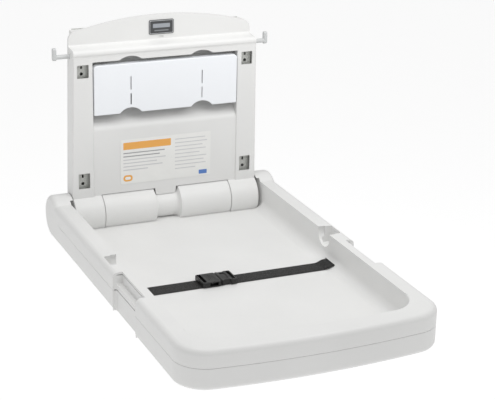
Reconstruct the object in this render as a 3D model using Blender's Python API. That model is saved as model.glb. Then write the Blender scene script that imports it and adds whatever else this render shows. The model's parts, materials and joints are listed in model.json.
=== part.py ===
"""Vertical fold-down changing table: a wall housing, a bed that folds down from it, and a safety strap.

Frame: origin on the wall face, on the centre line, at the height of the hinge axis.
+X to the right as a person faces the wall, +Y into the wall, +Z up. Metres.
"""

import math

import bmesh
import bpy
from mathutils import Matrix, Vector

# ---------------------------------------------------------------- driving dimensions
MM = 0.001
GAP = 0.3 * MM                # between pieces that touch

# hinge
AXIS_Y = -62 * MM             # hinge axis, out from the wall
ROD_R = 8 * MM
ROD_HALF = 299 * MM
BARREL_R = 54 * MM            # drums of the bed, in the middle
BARREL_HALF = 182.3 * MM
KNUCKLE_R = 55 * MM           # round ends of the housing's columns
HINGE_SIDE_GAP = 1.2 * MM     # between a knuckle and the bed beside it
HINGE_RADIAL_GAP = 2.5 * MM
BUSH_R = 12 * MM
BUSH_BORE_GAP = 0.2 * MM
NECK_R = 35 * MM              # middle of the barrel, under the housing's tab
NECK_HALF = 38 * MM

# bed
BED_HALF = 321.5 * MM
BED_REACH = 1006 * MM         # hinge axis to the front of the bed, on the centre line
RIM_Z = 42 * MM
FLOOR_Z = -33 * MM
BOTTOM_Z = -56 * MM
SEAM_Z = -2 * MM              # where the upper and lower shells meet
SHELL = 4 * MM                # moulded wall
FRONT_BOW = 24 * MM           # how far the front edge bulges at the middle
CORNER_R = 66 * MM
BASIN_HALF = 275 * MM
FRONT_RIM = 60 * MM           # width of the rim across the front
BASIN_BOW = 8 * MM
BASIN_CORNER_R = 72 * MM
FLOOR_FILLET = 26 * MM
REAR_R = 58 * MM              # round rear ends of the side walls

# hand grips in the outer half of the rim
GRIP_NEAR = 520 * MM          # from the hinge axis
GRIP_FAR = 680 * MM
GRIP_INNER = 297 * MM
GRIP_FLOOR_Z = 11 * MM
GRIP_DEPTH = 10 * MM          # of the finger recess below the grip

# screws that hold the two shells together
SCREW_X = 210 * MM
SCREW_SHARES = (0.19, 0.53, 0.86)   # of the bed's reach, from the hinge axis

# wall housing
HOUSING_HALF = 264.5 * MM     # at the foot
HOUSING_TOP_HALF = 257 * MM
FRONT_Y = -85 * MM
SHELL_BACK_Y = -34 * MM       # the wide front part ends here
SKIRT_HALF = 243 * MM         # the narrower part that reaches the wall plate
FOOT_Z = 50 * MM
LEDGE_Z = 438 * MM            # underside of the ledge
LEDGE_TOP_Z = 454 * MM
LEDGE_Y = -88 * MM
ARCH_Y = -42 * MM
ARCH_TOP_Z = 527 * MM
ARCH_SIDE_Z = 490 * MM
ARCH_CORNER_R = 16 * MM
RECESS_HALF = 205 * MM        # between the columns
RECESS_BACK_Y = -40 * MM
RECESS_TOP_Z = 421 * MM
PANEL_TOP_Z = 238 * MM
PANEL_Y = -82 * MM
RAMP_TOP_Z = 274 * MM
TAB_HALF = 32 * MM
TAB_Z = 34 * MM

# wall plate and uprights
PLATE = 3 * MM
PLATE_HALF = 236 * MM
PLATE_LOW_Z = -42 * MM
PLATE_HIGH_Z = 494 * MM
UPRIGHT = 2.5 * MM
UPRIGHT_FACE_Y = -70 * MM
POCKET_X = 232 * MM
POCKET_WIDE = 32 * MM
POCKETS = ((398 * MM, 36 * MM), (97 * MM, 43 * MM))   # centre height, opening height

# liner dispenser
DOOR_HALF = 202.5 * MM
DOOR_LOW_Z = 276 * MM
DOOR_HIGH_Z = 411 * MM
DOOR_Y = -87.5 * MM
DOOR_LIP = 20 * MM
DOOR_WALL = 3 * MM
DOOR_AXIS_Y = -79 * MM
DOOR_AXIS_Z = 283 * MM
DOOR_PIN_R = 2.5 * MM
SLOT_X = 101 * MM
NOTCH_WIDE = 62 * MM

# bag hooks
HOOK_Y = -52 * MM
HOOK_Z = 434 * MM
HOOK_R = 6 * MM
HOOK_SPAN = 304 * MM          # centre line to the outside of a hook

# label and badge
LABEL_WIDE, LABEL_HIGH, LABEL_Z = 260 * MM, 125 * MM, 138 * MM
BADGE_WIDE, BADGE_HIGH, BADGE_Z = 70 * MM, 39 * MM, 492 * MM

# safety strap
STRAP_FROM_AXIS = 494 * MM
STRAP_WIDE = 50 * MM
STRAP_THICK = 1.4 * MM
SLOT_GAP = 2 * MM             # room round the strap where it goes through the wall
BUCKLE_X = -40 * MM           # where the two halves of the buckle meet
BUCKLE_WIDE = STRAP_WIDE + 8 * MM
BUCKLE_HIGH = 13 * MM
SOCKET_LONG = 50 * MM
PLUG_LONG = 42 * MM
WINDOW_LONG = 8 * MM          # slot of the buckle that the webbing is threaded through

# places that follow from the sizes above
AXIS = Vector((0, AXIS_Y, 0))
FRONT = AXIS_Y - BED_REACH
STRAP_Y = AXIS_Y - STRAP_FROM_AXIS
STRAP_Z = FLOOR_Z + GAP + STRAP_THICK / 2     # middle of the webbing on the floor
STRAP_END_Z = FLOOR_Z + 8 * MM                # middle of the webbing in the wall slot
BUCKLE_LOW = FLOOR_Z + 2 * GAP + STRAP_THICK
BUCKLE_TOP = BUCKLE_LOW + BUCKLE_HIGH
POCKET_R = KNUCKLE_R + HINGE_RADIAL_GAP
REAR_BLOCK = AXIS_Y - REAR_R - 3 * MM         # the lower shell starts here

for old in list(bpy.data.objects):
    bpy.data.objects.remove(old, do_unlink=True)

parts = bpy.data.collections.new("changing_table")
cutters = bpy.data.collections.new("cutters")
bpy.context.scene.collection.children.link(parts)
bpy.context.scene.collection.children.link(cutters)


# ---------------------------------------------------------------- materials
def material(name, colour, roughness=0.5, metallic=0.0):
    """A plain Principled finish; colour is linear red, green, blue."""
    made = bpy.data.materials.new(name)
    made.use_nodes = True
    shader = made.node_tree.nodes["Principled BSDF"]
    shader.inputs["Base Color"].default_value = (*colour, 1.0)
    shader.inputs["Roughness"].default_value = roughness
    shader.inputs["Metallic"].default_value = metallic
    return made


GREY_PLASTIC = (0.74, 0.74, 0.73)
WHITE_PLASTIC = (0.84, 0.87, 0.9)
NYLON = (0.85, 0.84, 0.8)
BLACK = (0.012, 0.012, 0.013)
ZINC = (0.45, 0.46, 0.43)
STEEL = (0.6, 0.6, 0.6)


# ---------------------------------------------------------------- modelling helpers
def finish(name, mesh, collection, finish_of=None):
    """Put a mesh in the scene as one object, with its own material when it is a part."""
    made = bpy.data.objects.new(name, mesh)
    collection.objects.link(made)
    if finish_of:
        made.data.materials.append(material(name + "_finish", *finish_of))
    else:
        made.hide_render = True
        made.display_type = "WIRE"
    return made


def from_bmesh(name, build, collection, finish_of):
    mesh = bpy.data.meshes.new(name)
    build.to_mesh(mesh)
    build.free()
    return finish(name, mesh, collection, finish_of)


def box(name, low, high, finish_of=None):
    """A box between two corners."""
    low, high = Vector(low), Vector(high)
    build = bmesh.new()
    size = high - low
    place = Matrix.Translation((low + high) / 2) @ Matrix.Diagonal((*size, 1))
    bmesh.ops.create_cube(build, size=1, matrix=place)
    return from_bmesh(name, build, parts if finish_of else cutters, finish_of)


def rod(name, radius, x_low, x_high, y, z, finish_of=None, sides=32):
    """A cylinder along X."""
    build = bmesh.new()
    place = Matrix.Translation(((x_low + x_high) / 2, y, z)) @ Matrix.Rotation(math.pi / 2, 4, "Y")
    bmesh.ops.create_cone(
        build, cap_ends=True, segments=sides, radius1=radius, radius2=radius,
        depth=x_high - x_low, matrix=place,
    )
    return from_bmesh(name, build, parts if finish_of else cutters, finish_of)


def post(name, radius, low, high, x, fixed, along="Z", finish_of=None, sides=24):
    """A cylinder along Z (fixed is its y) or along Y (fixed is its z)."""
    middle = (low + high) / 2
    build = bmesh.new()
    if along == "Z":
        place = Matrix.Translation((x, fixed, middle))
    else:
        place = Matrix.Translation((x, middle, fixed)) @ Matrix.Rotation(math.pi / 2, 4, "X")
    bmesh.ops.create_cone(
        build, cap_ends=True, segments=sides, radius1=radius, radius2=radius,
        depth=high - low, matrix=place,
    )
    return from_bmesh(name, build, parts if finish_of else cutters, finish_of)


def prism(name, outline, axis, low, high, finish_of=None):
    """A flat outline, extruded along an axis: (y, z) points along X, (x, z) along Y, (x, y) along Z."""
    curve = bpy.data.curves.new(name, "CURVE")
    curve.dimensions = "2D"
    curve.fill_mode = "BOTH"
    curve.extrude = (high - low) / 2
    spline = curve.splines.new("POLY")
    spline.points.add(len(outline) - 1)
    for point, (a, b) in zip(spline.points, outline):
        point.co = (a, b, 0, 1)
    spline.use_cyclic_u = True
    middle = (low + high) / 2
    turn = {
        "X": Matrix(((0, 0, 1, middle), (1, 0, 0, 0), (0, 1, 0, 0), (0, 0, 0, 1))),
        "Y": Matrix(((1, 0, 0, 0), (0, 0, -1, middle), (0, 1, 0, 0), (0, 0, 0, 1))),
        "Z": Matrix.Translation((0, 0, middle)),
    }[axis]
    guide = bpy.data.objects.new(name + "_outline", curve)
    bpy.context.scene.collection.objects.link(guide)
    bpy.context.view_layer.update()
    mesh = bpy.data.meshes.new_from_object(guide.evaluated_get(bpy.context.evaluated_depsgraph_get()))
    bpy.data.objects.remove(guide, do_unlink=True)
    build = bmesh.new()
    build.from_mesh(mesh)
    bmesh.ops.remove_doubles(build, verts=build.verts, dist=0.00001)
    bmesh.ops.transform(build, matrix=turn, verts=build.verts)
    bmesh.ops.dissolve_limit(build, angle_limit=0.001, verts=build.verts, edges=build.edges)
    bmesh.ops.recalc_face_normals(build, faces=build.faces)
    bpy.data.meshes.remove(mesh)
    return from_bmesh(name, build, parts if finish_of else cutters, finish_of)


def fillet(before, corner, after, radius, steps=5):
    """Points of the arc that rounds one corner of an outline."""
    a, b = Vector(before) - Vector(corner), Vector(after) - Vector(corner)
    half = a.angle(b) / 2
    reach = min(radius / math.tan(half), a.length * 0.95, b.length * 0.95)
    radius = reach * math.tan(half)
    start = Vector(corner) + a.normalized() * reach
    end = Vector(corner) + b.normalized() * reach
    centre = Vector(corner) + (a.normalized() + b.normalized()).normalized() * radius / math.sin(half)
    first, last = start - centre, end - centre
    sweep = math.atan2(first.x * last.y - first.y * last.x, first.dot(last))
    turns = [Matrix.Rotation(sweep * i / steps, 2) for i in range(steps + 1)]
    return [tuple(centre + turn @ first) for turn in turns]


def rounded(corners, radii, steps=5):
    """An outline with its corners rounded; a radius of 0 keeps a corner sharp."""
    points = []
    for i, (corner, radius) in enumerate(zip(corners, radii)):
        if radius:
            points += fillet(corners[i - 1], corner, corners[(i + 1) % len(corners)], radius, steps)
        else:
            points.append(corner)
    return points


def round_edges(part, chosen, radius, segments=3):
    """Round the sharp edges that a test picks."""
    build = bmesh.new()
    build.from_mesh(part.data)
    edges = [e for e in build.edges if e.calc_face_angle(0) > 0.7 and chosen(e)]
    bmesh.ops.bevel(build, geom=edges, offset=radius, segments=segments, profile=0.5, affect="EDGES")
    build.to_mesh(part.data)
    build.free()


def edge_at(axis, value):
    """A test for the edges that lie in one plane."""
    def test(edge):
        return all(abs(v.co[axis] - value) < 0.00001 for v in edge.verts)
    return test


def boolean(part, tool, operation="DIFFERENCE"):
    step = part.modifiers.new(tool.name, "BOOLEAN")
    step.object = tool
    step.operation = operation
    step.solver = "EXACT"


def cut(part, *tools):
    for tool in tools:
        boolean(part, tool)


def join(part, *tools):
    for tool in tools:
        boolean(part, tool, "UNION")


def axis_empty(name, place):
    """An empty on a joint's axis, that the moving pieces are parented to."""
    empty = bpy.data.objects.new(name, None)
    empty.location = place
    parts.objects.link(empty)
    return empty


def hang(empty, *pieces):
    """Parent pieces to an empty and leave them where they are."""
    for piece in pieces:
        piece.parent = empty
        piece.matrix_parent_inverse = Matrix.Translation(-Vector(empty.location))


def both_sides(make):
    """Call a maker for the left side (-1) and the right side (+1)."""
    return [make(side, name) for side, name in ((-1, "left"), (1, "right"))]


def across(side, near, far):
    """Two x values in rising order, on one side of the centre line."""
    return sorted((side * near, side * far))


# ---------------------------------------------------------------- bed
def tray_outline(half, front, bow, corner_r, rear, inset=0.0):
    """Plan of the bed or its basin: straight sides, round front corners, a bowed front."""
    half, front, corner_r = half - inset, front + inset, corner_r - inset
    steps = 8
    edge = [half - 2 * half * i / steps for i in range(steps + 1)]
    bowed = [(x, front + bow * (x / half) ** 2) for x in edge]
    corners = [(half, rear), *bowed, (-half, rear)]
    radii = [0, corner_r, *[0] * (steps - 1), corner_r, 0]
    return rounded(corners, radii, 7)


def bed_outline(inset=0.0, rear=AXIS_Y):
    return tray_outline(BED_HALF, FRONT, FRONT_BOW, CORNER_R, rear, inset)


def basin_outline(grow=0.0, rear=AXIS_Y):
    return tray_outline(BASIN_HALF, FRONT + FRONT_RIM, BASIN_BOW, BASIN_CORNER_R, rear, -grow)



def make_bed():
    bed_axis = axis_empty("bed_axis", AXIS)

    # the outer skin is hollow; the basin, grips and grooves hang into it as pockets of the same wall
    basin_skin = prism("basin_skin", basin_outline(SHELL), "Z", FLOOR_Z - SHELL, RIM_Z - MM)
    round_edges(basin_skin, edge_at(2, FLOOR_Z - SHELL), FLOOR_FILLET)
    hollow = prism("hollow", bed_outline(SHELL, REAR_BLOCK), "Z", BOTTOM_Z, RIM_Z - SHELL)
    low_hollow = prism("low_hollow", bed_outline(SHELL, REAR_BLOCK - SHELL), "Z", BOTTOM_Z + SHELL, RIM_Z)

    def side_box(name, side, near, far, from_axis, z_low, z_high):
        """A box on one side of the bed, placed by its distances from the hinge axis."""
        x_low, x_high = across(side, near, far)
        return box(f"{name}_{'left' if side < 0 else 'right'}",
                   (x_low, AXIS_Y - from_axis[1], z_low), (x_high, AXIS_Y - from_axis[0], z_high))

    past = BED_HALF + SHELL
    grip_span = (GRIP_NEAR, GRIP_FAR)
    skin_span = (GRIP_NEAR - SHELL, GRIP_FAR + SHELL)
    finger_x = BED_HALF - GRIP_DEPTH
    grips, fingers, upper_skins, lower_skins = [], [], [], []
    for side in (-1, 1):
        grips.append(side_box("grip", side, GRIP_INNER, past, grip_span, GRIP_FLOOR_Z, RIM_Z + SHELL))
        finger = side_box("fingers", side, finger_x, past + GRIP_DEPTH, grip_span,
                          BOTTOM_Z - SHELL, RIM_Z + SHELL)
        round_edges(finger, lambda e: abs(e.verts[0].co.z - e.verts[1].co.z) > MM, GRIP_DEPTH * 0.6, 2)
        fingers.append(finger)
        upper_skins.append(side_box("grip_skin", side, GRIP_INNER - SHELL, BED_HALF - MM, skin_span,
                                    GRIP_FLOOR_Z - SHELL, RIM_Z - 2 * MM))
        upper_skins.append(side_box("finger_skin", side, finger_x - SHELL, BED_HALF - 1.5 * MM,
                                    (skin_span[0] - MM, skin_span[1] + MM), SEAM_Z + MM, GRIP_FLOOR_Z))
        lower_skins.append(side_box("finger_skin_low", side, finger_x - SHELL, BED_HALF - MM, skin_span,
                                    BOTTOM_Z + MM, SEAM_Z - MM))

    # grooves across the rim that the bag hooks lie in when the bed is up
    hook_y = AXIS_Y - HOOK_Z
    well_low = (HOOK_Y - AXIS_Y) - HOOK_R - 5 * MM
    grooves, wells = [], []
    for side, name in ((-1, "left"), (1, "right")):
        x_low, x_high = across(side, BASIN_HALF - 8 * MM, HOOK_SPAN - 12 * MM)
        groove = rod(f"groove_{name}", 33 * MM, x_low, x_high, hook_y - 8 * MM, RIM_Z - 9 * MM)
        grooves.append(groove)
        x_low, x_high = across(side, HOOK_SPAN - 22 * MM, HOOK_SPAN + 5 * MM)
        y_low, y_high = hook_y - 37 * MM, hook_y + 20 * MM
        wells.append(box(f"well_{name}", (x_low, y_low, well_low), (x_high, y_high, RIM_Z + SHELL)))
        x_low, x_high = across(side, BASIN_HALF + 2 * MM, HOOK_SPAN + 5 * MM + SHELL)
        upper_skins.append(box(
            f"well_skin_{name}", (x_low, y_low - 12 * MM, well_low - SHELL),
            (x_high, y_high + 12 * MM, RIM_Z - 2.5 * MM),
        ))

    # slots that the strap goes through, low in the side walls
    slots = both_sides(lambda side, name: box(
        f"strap_slot_{name}",
        (across(side, 256 * MM, 284 * MM)[0], STRAP_Y - STRAP_WIDE / 2 - SLOT_GAP, STRAP_END_Z - 3 * MM),
        (across(side, 256 * MM, 284 * MM)[1], STRAP_Y + STRAP_WIDE / 2 + SLOT_GAP, STRAP_END_Z + 3 * MM),
    ))

    # room for the housing's knuckles, between the barrel and the side walls
    knuckle_rooms = []
    for side, name in ((-1, "left"), (1, "right")):
        x_low, x_high = across(side, BARREL_HALF, BASIN_HALF)
        knuckle_rooms.append(rod(f"knuckle_room_{name}", POCKET_R, x_low, x_high, AXIS_Y, 0, sides=48))
        knuckle_rooms.append(box(f"behind_{name}", (x_low, AXIS_Y - 2 * MM, BOTTOM_Z - SHELL),
                                 (x_high, MM, RIM_Z + SHELL)))
    basin = prism("basin", basin_outline(0, MM), "Z", FLOOR_Z, RIM_Z + 2 * SHELL)
    round_edges(basin, lambda e: edge_at(2, FLOOR_Z)(e) and not edge_at(1, MM)(e), FLOOR_FILLET)

    upper = prism("bed_upper_shell", bed_outline(), "Z", SEAM_Z + GAP / 2, RIM_Z, (GREY_PLASTIC, 0.45))
    round_edges(upper, lambda e: edge_at(2, RIM_Z)(e) and not edge_at(1, AXIS_Y)(e), 9 * MM)
    rear_ends = []
    for side, name in ((-1, "left"), (1, "right")):
        x_low, x_high = across(side, BASIN_HALF - 2 * SHELL, BED_HALF - 0.5 * MM)
        rear_ends.append(box(f"rear_block_{name}", (x_low, REAR_BLOCK, BOTTOM_Z),
                             (x_high, AXIS_Y, RIM_Z - 9 * MM)))
        end = rod(f"rear_end_{name}", REAR_R, x_low, x_high, AXIS_Y, 0, sides=48)
        round_edges(end, edge_at(0, side * (BED_HALF - 0.5 * MM)), 9 * MM)
        rear_ends.append(end)
    cut(upper, hollow)
    join(upper, basin_skin, *upper_skins, *rear_ends)
    cut(upper, basin, *knuckle_rooms)
    drum = rod("drum", BARREL_R, -BARREL_HALF, BARREL_HALF, AXIS_Y, 0, sides=48)
    lip = box("lip", (-BARREL_HALF + MM, REAR_BLOCK - SHELL, BOTTOM_Z),
              (BARREL_HALF - MM, AXIS_Y - BARREL_R * 0.55, FLOOR_Z - MM))
    join(upper, drum, lip)
    channel = rod("channel", BARREL_R + SHELL, -NECK_HALF, NECK_HALF, AXIS_Y, 0, sides=48)
    neck = rod("neck", NECK_R, -NECK_HALF - SHELL, NECK_HALF + SHELL, AXIS_Y, 0, sides=36)
    cut(channel, neck)
    channel_floor = box("channel_floor", (-NECK_HALF - SHELL, FRONT, BOTTOM_Z - SHELL),
                        (NECK_HALF + SHELL, AXIS_Y, FLOOR_Z))
    cut(channel, channel_floor)
    drum_hollows = both_sides(lambda side, name: rod(
        f"drum_hollow_{name}", BARREL_R - 5 * MM,
        *across(side, NECK_HALF + 5 * MM, BARREL_HALF - 8 * MM), AXIS_Y, 0, sides=36,
    ))
    rod_bore = rod("rod_bore", ROD_R + 1 * MM, -BARREL_HALF, BARREL_HALF, AXIS_Y, 0)
    bush_bores = both_sides(lambda side, name: rod(
        f"bush_bore_{name}", BUSH_R, *across(side, BARREL_HALF - 10 * MM, ROD_HALF + 4 * MM), AXIS_Y, 0,
    ))
    cut(upper, channel, *drum_hollows, rod_bore, *bush_bores)
    cut(upper, *grooves, *wells, *grips, *fingers, *slots)

    lower = prism("bed_lower_shell", bed_outline(0, REAR_BLOCK - GAP), "Z", BOTTOM_Z, SEAM_Z - GAP / 2,
                  (GREY_PLASTIC, 0.45))
    round_edges(lower, lambda e: edge_at(2, BOTTOM_Z)(e) and not edge_at(1, REAR_BLOCK - GAP)(e), 12 * MM)
    lip_room = box("lip_room", (-BARREL_HALF - GAP, REAR_BLOCK - SHELL - GAP, BOTTOM_Z - SHELL),
                   (BARREL_HALF + GAP, AXIS_Y, FLOOR_Z))
    rear_room = box("rear_room", (-BASIN_HALF - SHELL - GAP, REAR_BLOCK - 2 * SHELL, FLOOR_Z - SHELL - GAP),
                    (BASIN_HALF + SHELL + GAP, AXIS_Y, RIM_Z))
    cut(lower, low_hollow)
    join(lower, *lower_skins)
    cut(lower, lip_room, rear_room, *fingers)

    # screws from below, through the lower shell into bosses under the basin
    screws = []
    boss_at = [(side * SCREW_X, AXIS_Y - share * BED_REACH) for side in (-1, 1) for share in SCREW_SHARES]
    for number, (x, y) in enumerate(boss_at, 1):
        boss = post(f"boss_{number}", 7 * MM, BOTTOM_Z + SHELL + GAP, FLOOR_Z - SHELL / 2, x, y)
        pilot = post(f"pilot_{number}", 2.2 * MM, BOTTOM_Z, FLOOR_Z - SHELL - MM, x, y)
        through = post(f"through_{number}", 2.4 * MM, BOTTOM_Z - MM, BOTTOM_Z + 2 * SHELL, x, y)
        sink = post(f"sink_{number}", 5 * MM, BOTTOM_Z - MM, BOTTOM_Z + 2 * MM, x, y)
        join(upper, boss)
        cut(upper, pilot)
        cut(lower, through, sink)
        screw = post(f"shell_screw_{number}", 1.9 * MM, BOTTOM_Z + MM, FLOOR_Z - SHELL - 3 * MM, x, y,
                     finish_of=(STEEL, 0.3, 1.0), sides=12)
        head = post(f"screw_head_{number}", 4.6 * MM, BOTTOM_Z + 0.2 * MM, BOTTOM_Z + 1.7 * MM,
                    x, y, sides=16)
        join(screw, head)
        screws.append(screw)

    bushes = []
    for side, name in ((-1, "left"), (1, "right")):
        for place, near, far in (("inner", BARREL_HALF - 10 * MM, BARREL_HALF),
                                 ("outer", BASIN_HALF, ROD_HALF)):
            x_low, x_high = across(side, near + GAP, far - GAP)
            bush = rod(f"bush_{place}_{name}", BUSH_R - GAP, x_low, x_high, AXIS_Y, 0, (NYLON, 0.5), 24)
            bore = rod(f"bush_hole_{place}_{name}", ROD_R + BUSH_BORE_GAP, x_low - MM, x_high + MM, AXIS_Y, 0)
            cut(bush, bore)
            bushes.append(bush)
    hang(bed_axis, upper, lower, *screws, *bushes)
    return bed_axis


# ---------------------------------------------------------------- wall housing
def make_wall():
    arch = [(x / 8 * HOUSING_TOP_HALF, ARCH_TOP_Z - (ARCH_TOP_Z - ARCH_SIDE_Z) * (x / 8) ** 2)
            for x in range(8, -9, -1)]
    corners = [(HOUSING_HALF, FOOT_Z), *arch, (-HOUSING_HALF, FOOT_Z)]
    radii = [0, ARCH_CORNER_R, *[0] * (len(arch) - 2), ARCH_CORNER_R, 0]
    housing = prism("wall_housing", rounded(corners, radii), "Y", LEDGE_Y, SHELL_BACK_Y, (GREY_PLASTIC, 0.45))

    # ledge and arch: everything in front of this side profile goes
    wide = HOUSING_HALF + SHELL
    ledge = rounded(
        [(LEDGE_Y - SHELL, FOOT_Z - SHELL), (FRONT_Y, FOOT_Z - SHELL), (FRONT_Y, LEDGE_Z),
         (LEDGE_Y, LEDGE_Z + 3 * MM), (LEDGE_Y, LEDGE_TOP_Z), (ARCH_Y, LEDGE_TOP_Z + 3 * MM),
         (ARCH_Y, ARCH_TOP_Z + SHELL), (LEDGE_Y - SHELL, ARCH_TOP_Z + SHELL)],
        [0, 0, 2 * MM, 2 * MM, 9 * MM, 4 * MM, 0, 0], 4)
    front_profile = prism("front_profile", ledge, "X", -wide, wide)
    recess = rounded(
        [(LEDGE_Y - SHELL, PANEL_TOP_Z), (PANEL_Y, PANEL_TOP_Z),
         (RECESS_BACK_Y - 14 * MM, RAMP_TOP_Z - 8 * MM), (RECESS_BACK_Y, RAMP_TOP_Z + 6 * MM),
         (RECESS_BACK_Y, RECESS_TOP_Z), (LEDGE_Y - SHELL, RECESS_TOP_Z)],
        [0, 4 * MM, 12 * MM, 8 * MM, 0, 0], 4)
    dispenser_recess = prism("dispenser_recess", recess, "X", -RECESS_HALF, RECESS_HALF)
    panel_step = box("panel_step", (-RECESS_HALF, LEDGE_Y - SHELL, FOOT_Z - SHELL),
                     (RECESS_HALF, PANEL_Y, PANEL_TOP_Z + MM))
    cut(housing, front_profile, dispenser_recess, panel_step)
    notch_rise = 10 * MM
    notch_r = (NOTCH_WIDE ** 2 / 4 + notch_rise ** 2) / (2 * notch_rise)
    for side, name in ((-1, "left"), (1, "right")):
        cut(housing, post(f"lip_notch_{name}", notch_r, LEDGE_Y - SHELL, RECESS_BACK_Y,
                          side * SLOT_X, RECESS_TOP_Z + notch_rise - notch_r, "Y", sides=48))

    # the rear part that reaches the wall plate, and the hollows behind the walls
    skirt = box("skirt", (-SKIRT_HALF, SHELL_BACK_Y - MM, 62 * MM), (SKIRT_HALF, -PLATE - GAP, 492 * MM))
    join(housing, skirt)
    inside = RECESS_HALF + SHELL
    for side, name in ((-1, "left"), (1, "right")):
        x_low, x_high = across(side, inside, 252 * MM)
        cut(housing, box(f"column_hollow_{name}", (x_low, FRONT_Y + SHELL, 62 * MM),
                         (x_high, SHELL_BACK_Y - SHELL, LEDGE_Z)))
        x_low, x_high = across(side, inside, SKIRT_HALF - SHELL)
        cut(housing, box(f"skirt_hollow_{name}", (x_low, SHELL_BACK_Y - SHELL - MM, 66 * MM),
                         (x_high, 0, 488 * MM)))
        for level, (z, high) in zip(("upper", "lower"), POCKETS):
            cut(housing, box(
                f"pocket_{level}_{name}",
                (side * POCKET_X - POCKET_WIDE / 2, LEDGE_Y - SHELL, z - high / 2),
                (side * POCKET_X + POCKET_WIDE / 2, FRONT_Y + 2 * SHELL, z + high / 2),
            ))
    panel_hollow = prism(
        "panel_hollow",
        [(0, 66 * MM), (PANEL_Y + SHELL, 66 * MM), (PANEL_Y + SHELL, PANEL_TOP_Z - 6 * MM),
         (SHELL_BACK_Y - 10 * MM, RAMP_TOP_Z - 12 * MM), (SHELL_BACK_Y - 2 * MM, RAMP_TOP_Z),
         (0, RAMP_TOP_Z)],
        "X", -RECESS_HALF + SHELL, RECESS_HALF - SHELL)
    bin_hollow = box("bin_hollow", (-RECESS_HALF + SHELL, SHELL_BACK_Y - 2 * MM, 200 * MM),
                     (RECESS_HALF - SHELL, 0, 488 * MM))
    ledge_hollow = box("ledge_hollow", (-238 * MM, LEDGE_Y + 2 * SHELL, LEDGE_Z + SHELL + MM),
                       (238 * MM, SHELL_BACK_Y, LEDGE_TOP_Z - SHELL))
    cut(housing, panel_hollow, bin_hollow, ledge_hollow)

    # hinge: round knuckles under the columns, clear room for the bed's barrel, the tab between the drums
    barrel_room = rod("barrel_room", BARREL_R + HINGE_RADIAL_GAP, -BARREL_HALF - HINGE_SIDE_GAP,
                      BARREL_HALF + HINGE_SIDE_GAP, AXIS_Y, 0, sides=48)
    cut(housing, barrel_room)
    for side, name in ((-1, "left"), (1, "right")):
        near, far = BARREL_HALF + HINGE_SIDE_GAP, HOUSING_HALF
        knuckle = rod(f"knuckle_{name}", KNUCKLE_R, *across(side, near, far), AXIS_Y, 0, sides=48)
        join(housing, knuckle)
        x_low, x_high = across(side, near + 6 * MM, far - 6 * MM)
        cut(housing, rod(f"knuckle_hollow_{name}", KNUCKLE_R - 6 * MM, x_low, x_high, AXIS_Y, 0, sides=36))
        cut(housing, box(f"knuckle_back_{name}", (x_low, AXIS_Y + 30 * MM, -26 * MM), (x_high, 0, 26 * MM)))
    rod_hole = rod("rod_hole", ROD_R + GAP, -HOUSING_HALF - MM, HOUSING_HALF + MM, AXIS_Y, 0)
    cut(housing, rod_hole)
    tab = prism("tab", rounded(
        [(-TAB_HALF, FOOT_Z + 16 * MM), (-TAB_HALF + 4 * MM, TAB_Z), (TAB_HALF - 4 * MM, TAB_Z),
         (TAB_HALF, FOOT_Z + 16 * MM)], [0, 4 * MM, 4 * MM, 0]), "Y", PANEL_Y, PANEL_Y + SHELL)
    join(housing, tab)

    # small slot under the badge, sockets for the hooks and for the door's pins
    cut(housing, box("arch_slot", (-6 * MM, ARCH_Y - SHELL, 463 * MM), (6 * MM, ARCH_Y + 3 * MM, 468 * MM)))
    for side, name in ((-1, "left"), (1, "right")):
        x_low, x_high = across(side, HOUSING_TOP_HALF - 14 * MM, HOUSING_HALF + MM)
        cut(housing, rod(f"hook_socket_{name}", HOOK_R + GAP, x_low, x_high, HOOK_Y, HOOK_Z, sides=24))
        x_low, x_high = across(side, RECESS_HALF - MM, RECESS_HALF + 5 * MM)
        cut(housing, rod(f"pin_socket_{name}", DOOR_PIN_R + GAP, x_low, x_high,
                         DOOR_AXIS_Y, DOOR_AXIS_Z, sides=16))
    return housing


def make_back():
    """Steel plate against the wall, and the two steel uprights behind the column fronts."""
    box("wall_plate", (-PLATE_HALF, -PLATE, PLATE_LOW_Z), (PLATE_HALF, 0, PLATE_HIGH_Z), (ZINC, 0.4, 0.9))
    for side, name in ((-1, "left"), (1, "right")):
        near, wide, foot = 213 * MM, 249 * MM, 236 * MM
        back = -PLATE - 2 * GAP
        section = [(near, UPRIGHT_FACE_Y), (wide, UPRIGHT_FACE_Y), (wide, UPRIGHT_FACE_Y + UPRIGHT),
                   (near + UPRIGHT, UPRIGHT_FACE_Y + UPRIGHT), (near + UPRIGHT, back - UPRIGHT),
                   (foot, back - UPRIGHT), (foot, back), (near, back)]
        upright = prism(f"upright_{name}", [(side * x, y) for x, y in section], "Z", 68 * MM, 424 * MM,
                        (ZINC, 0.45, 0.6))
        for level, (z, high) in zip(("upper", "lower"), POCKETS):
            hole = post(f"fixing_hole_{level}_{name}", 4.5 * MM, UPRIGHT_FACE_Y - MM,
                        UPRIGHT_FACE_Y + 2 * UPRIGHT, side * POCKET_X, z - high / 4, "Y", sides=20)
            slot = box(f"fixing_slot_{level}_{name}",
                       (side * POCKET_X - 2.5 * MM, UPRIGHT_FACE_Y - MM, z + high / 8),
                       (side * POCKET_X + 2.5 * MM, UPRIGHT_FACE_Y + 2 * UPRIGHT, z + high / 3))
            cut(upright, hole, slot)


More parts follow.
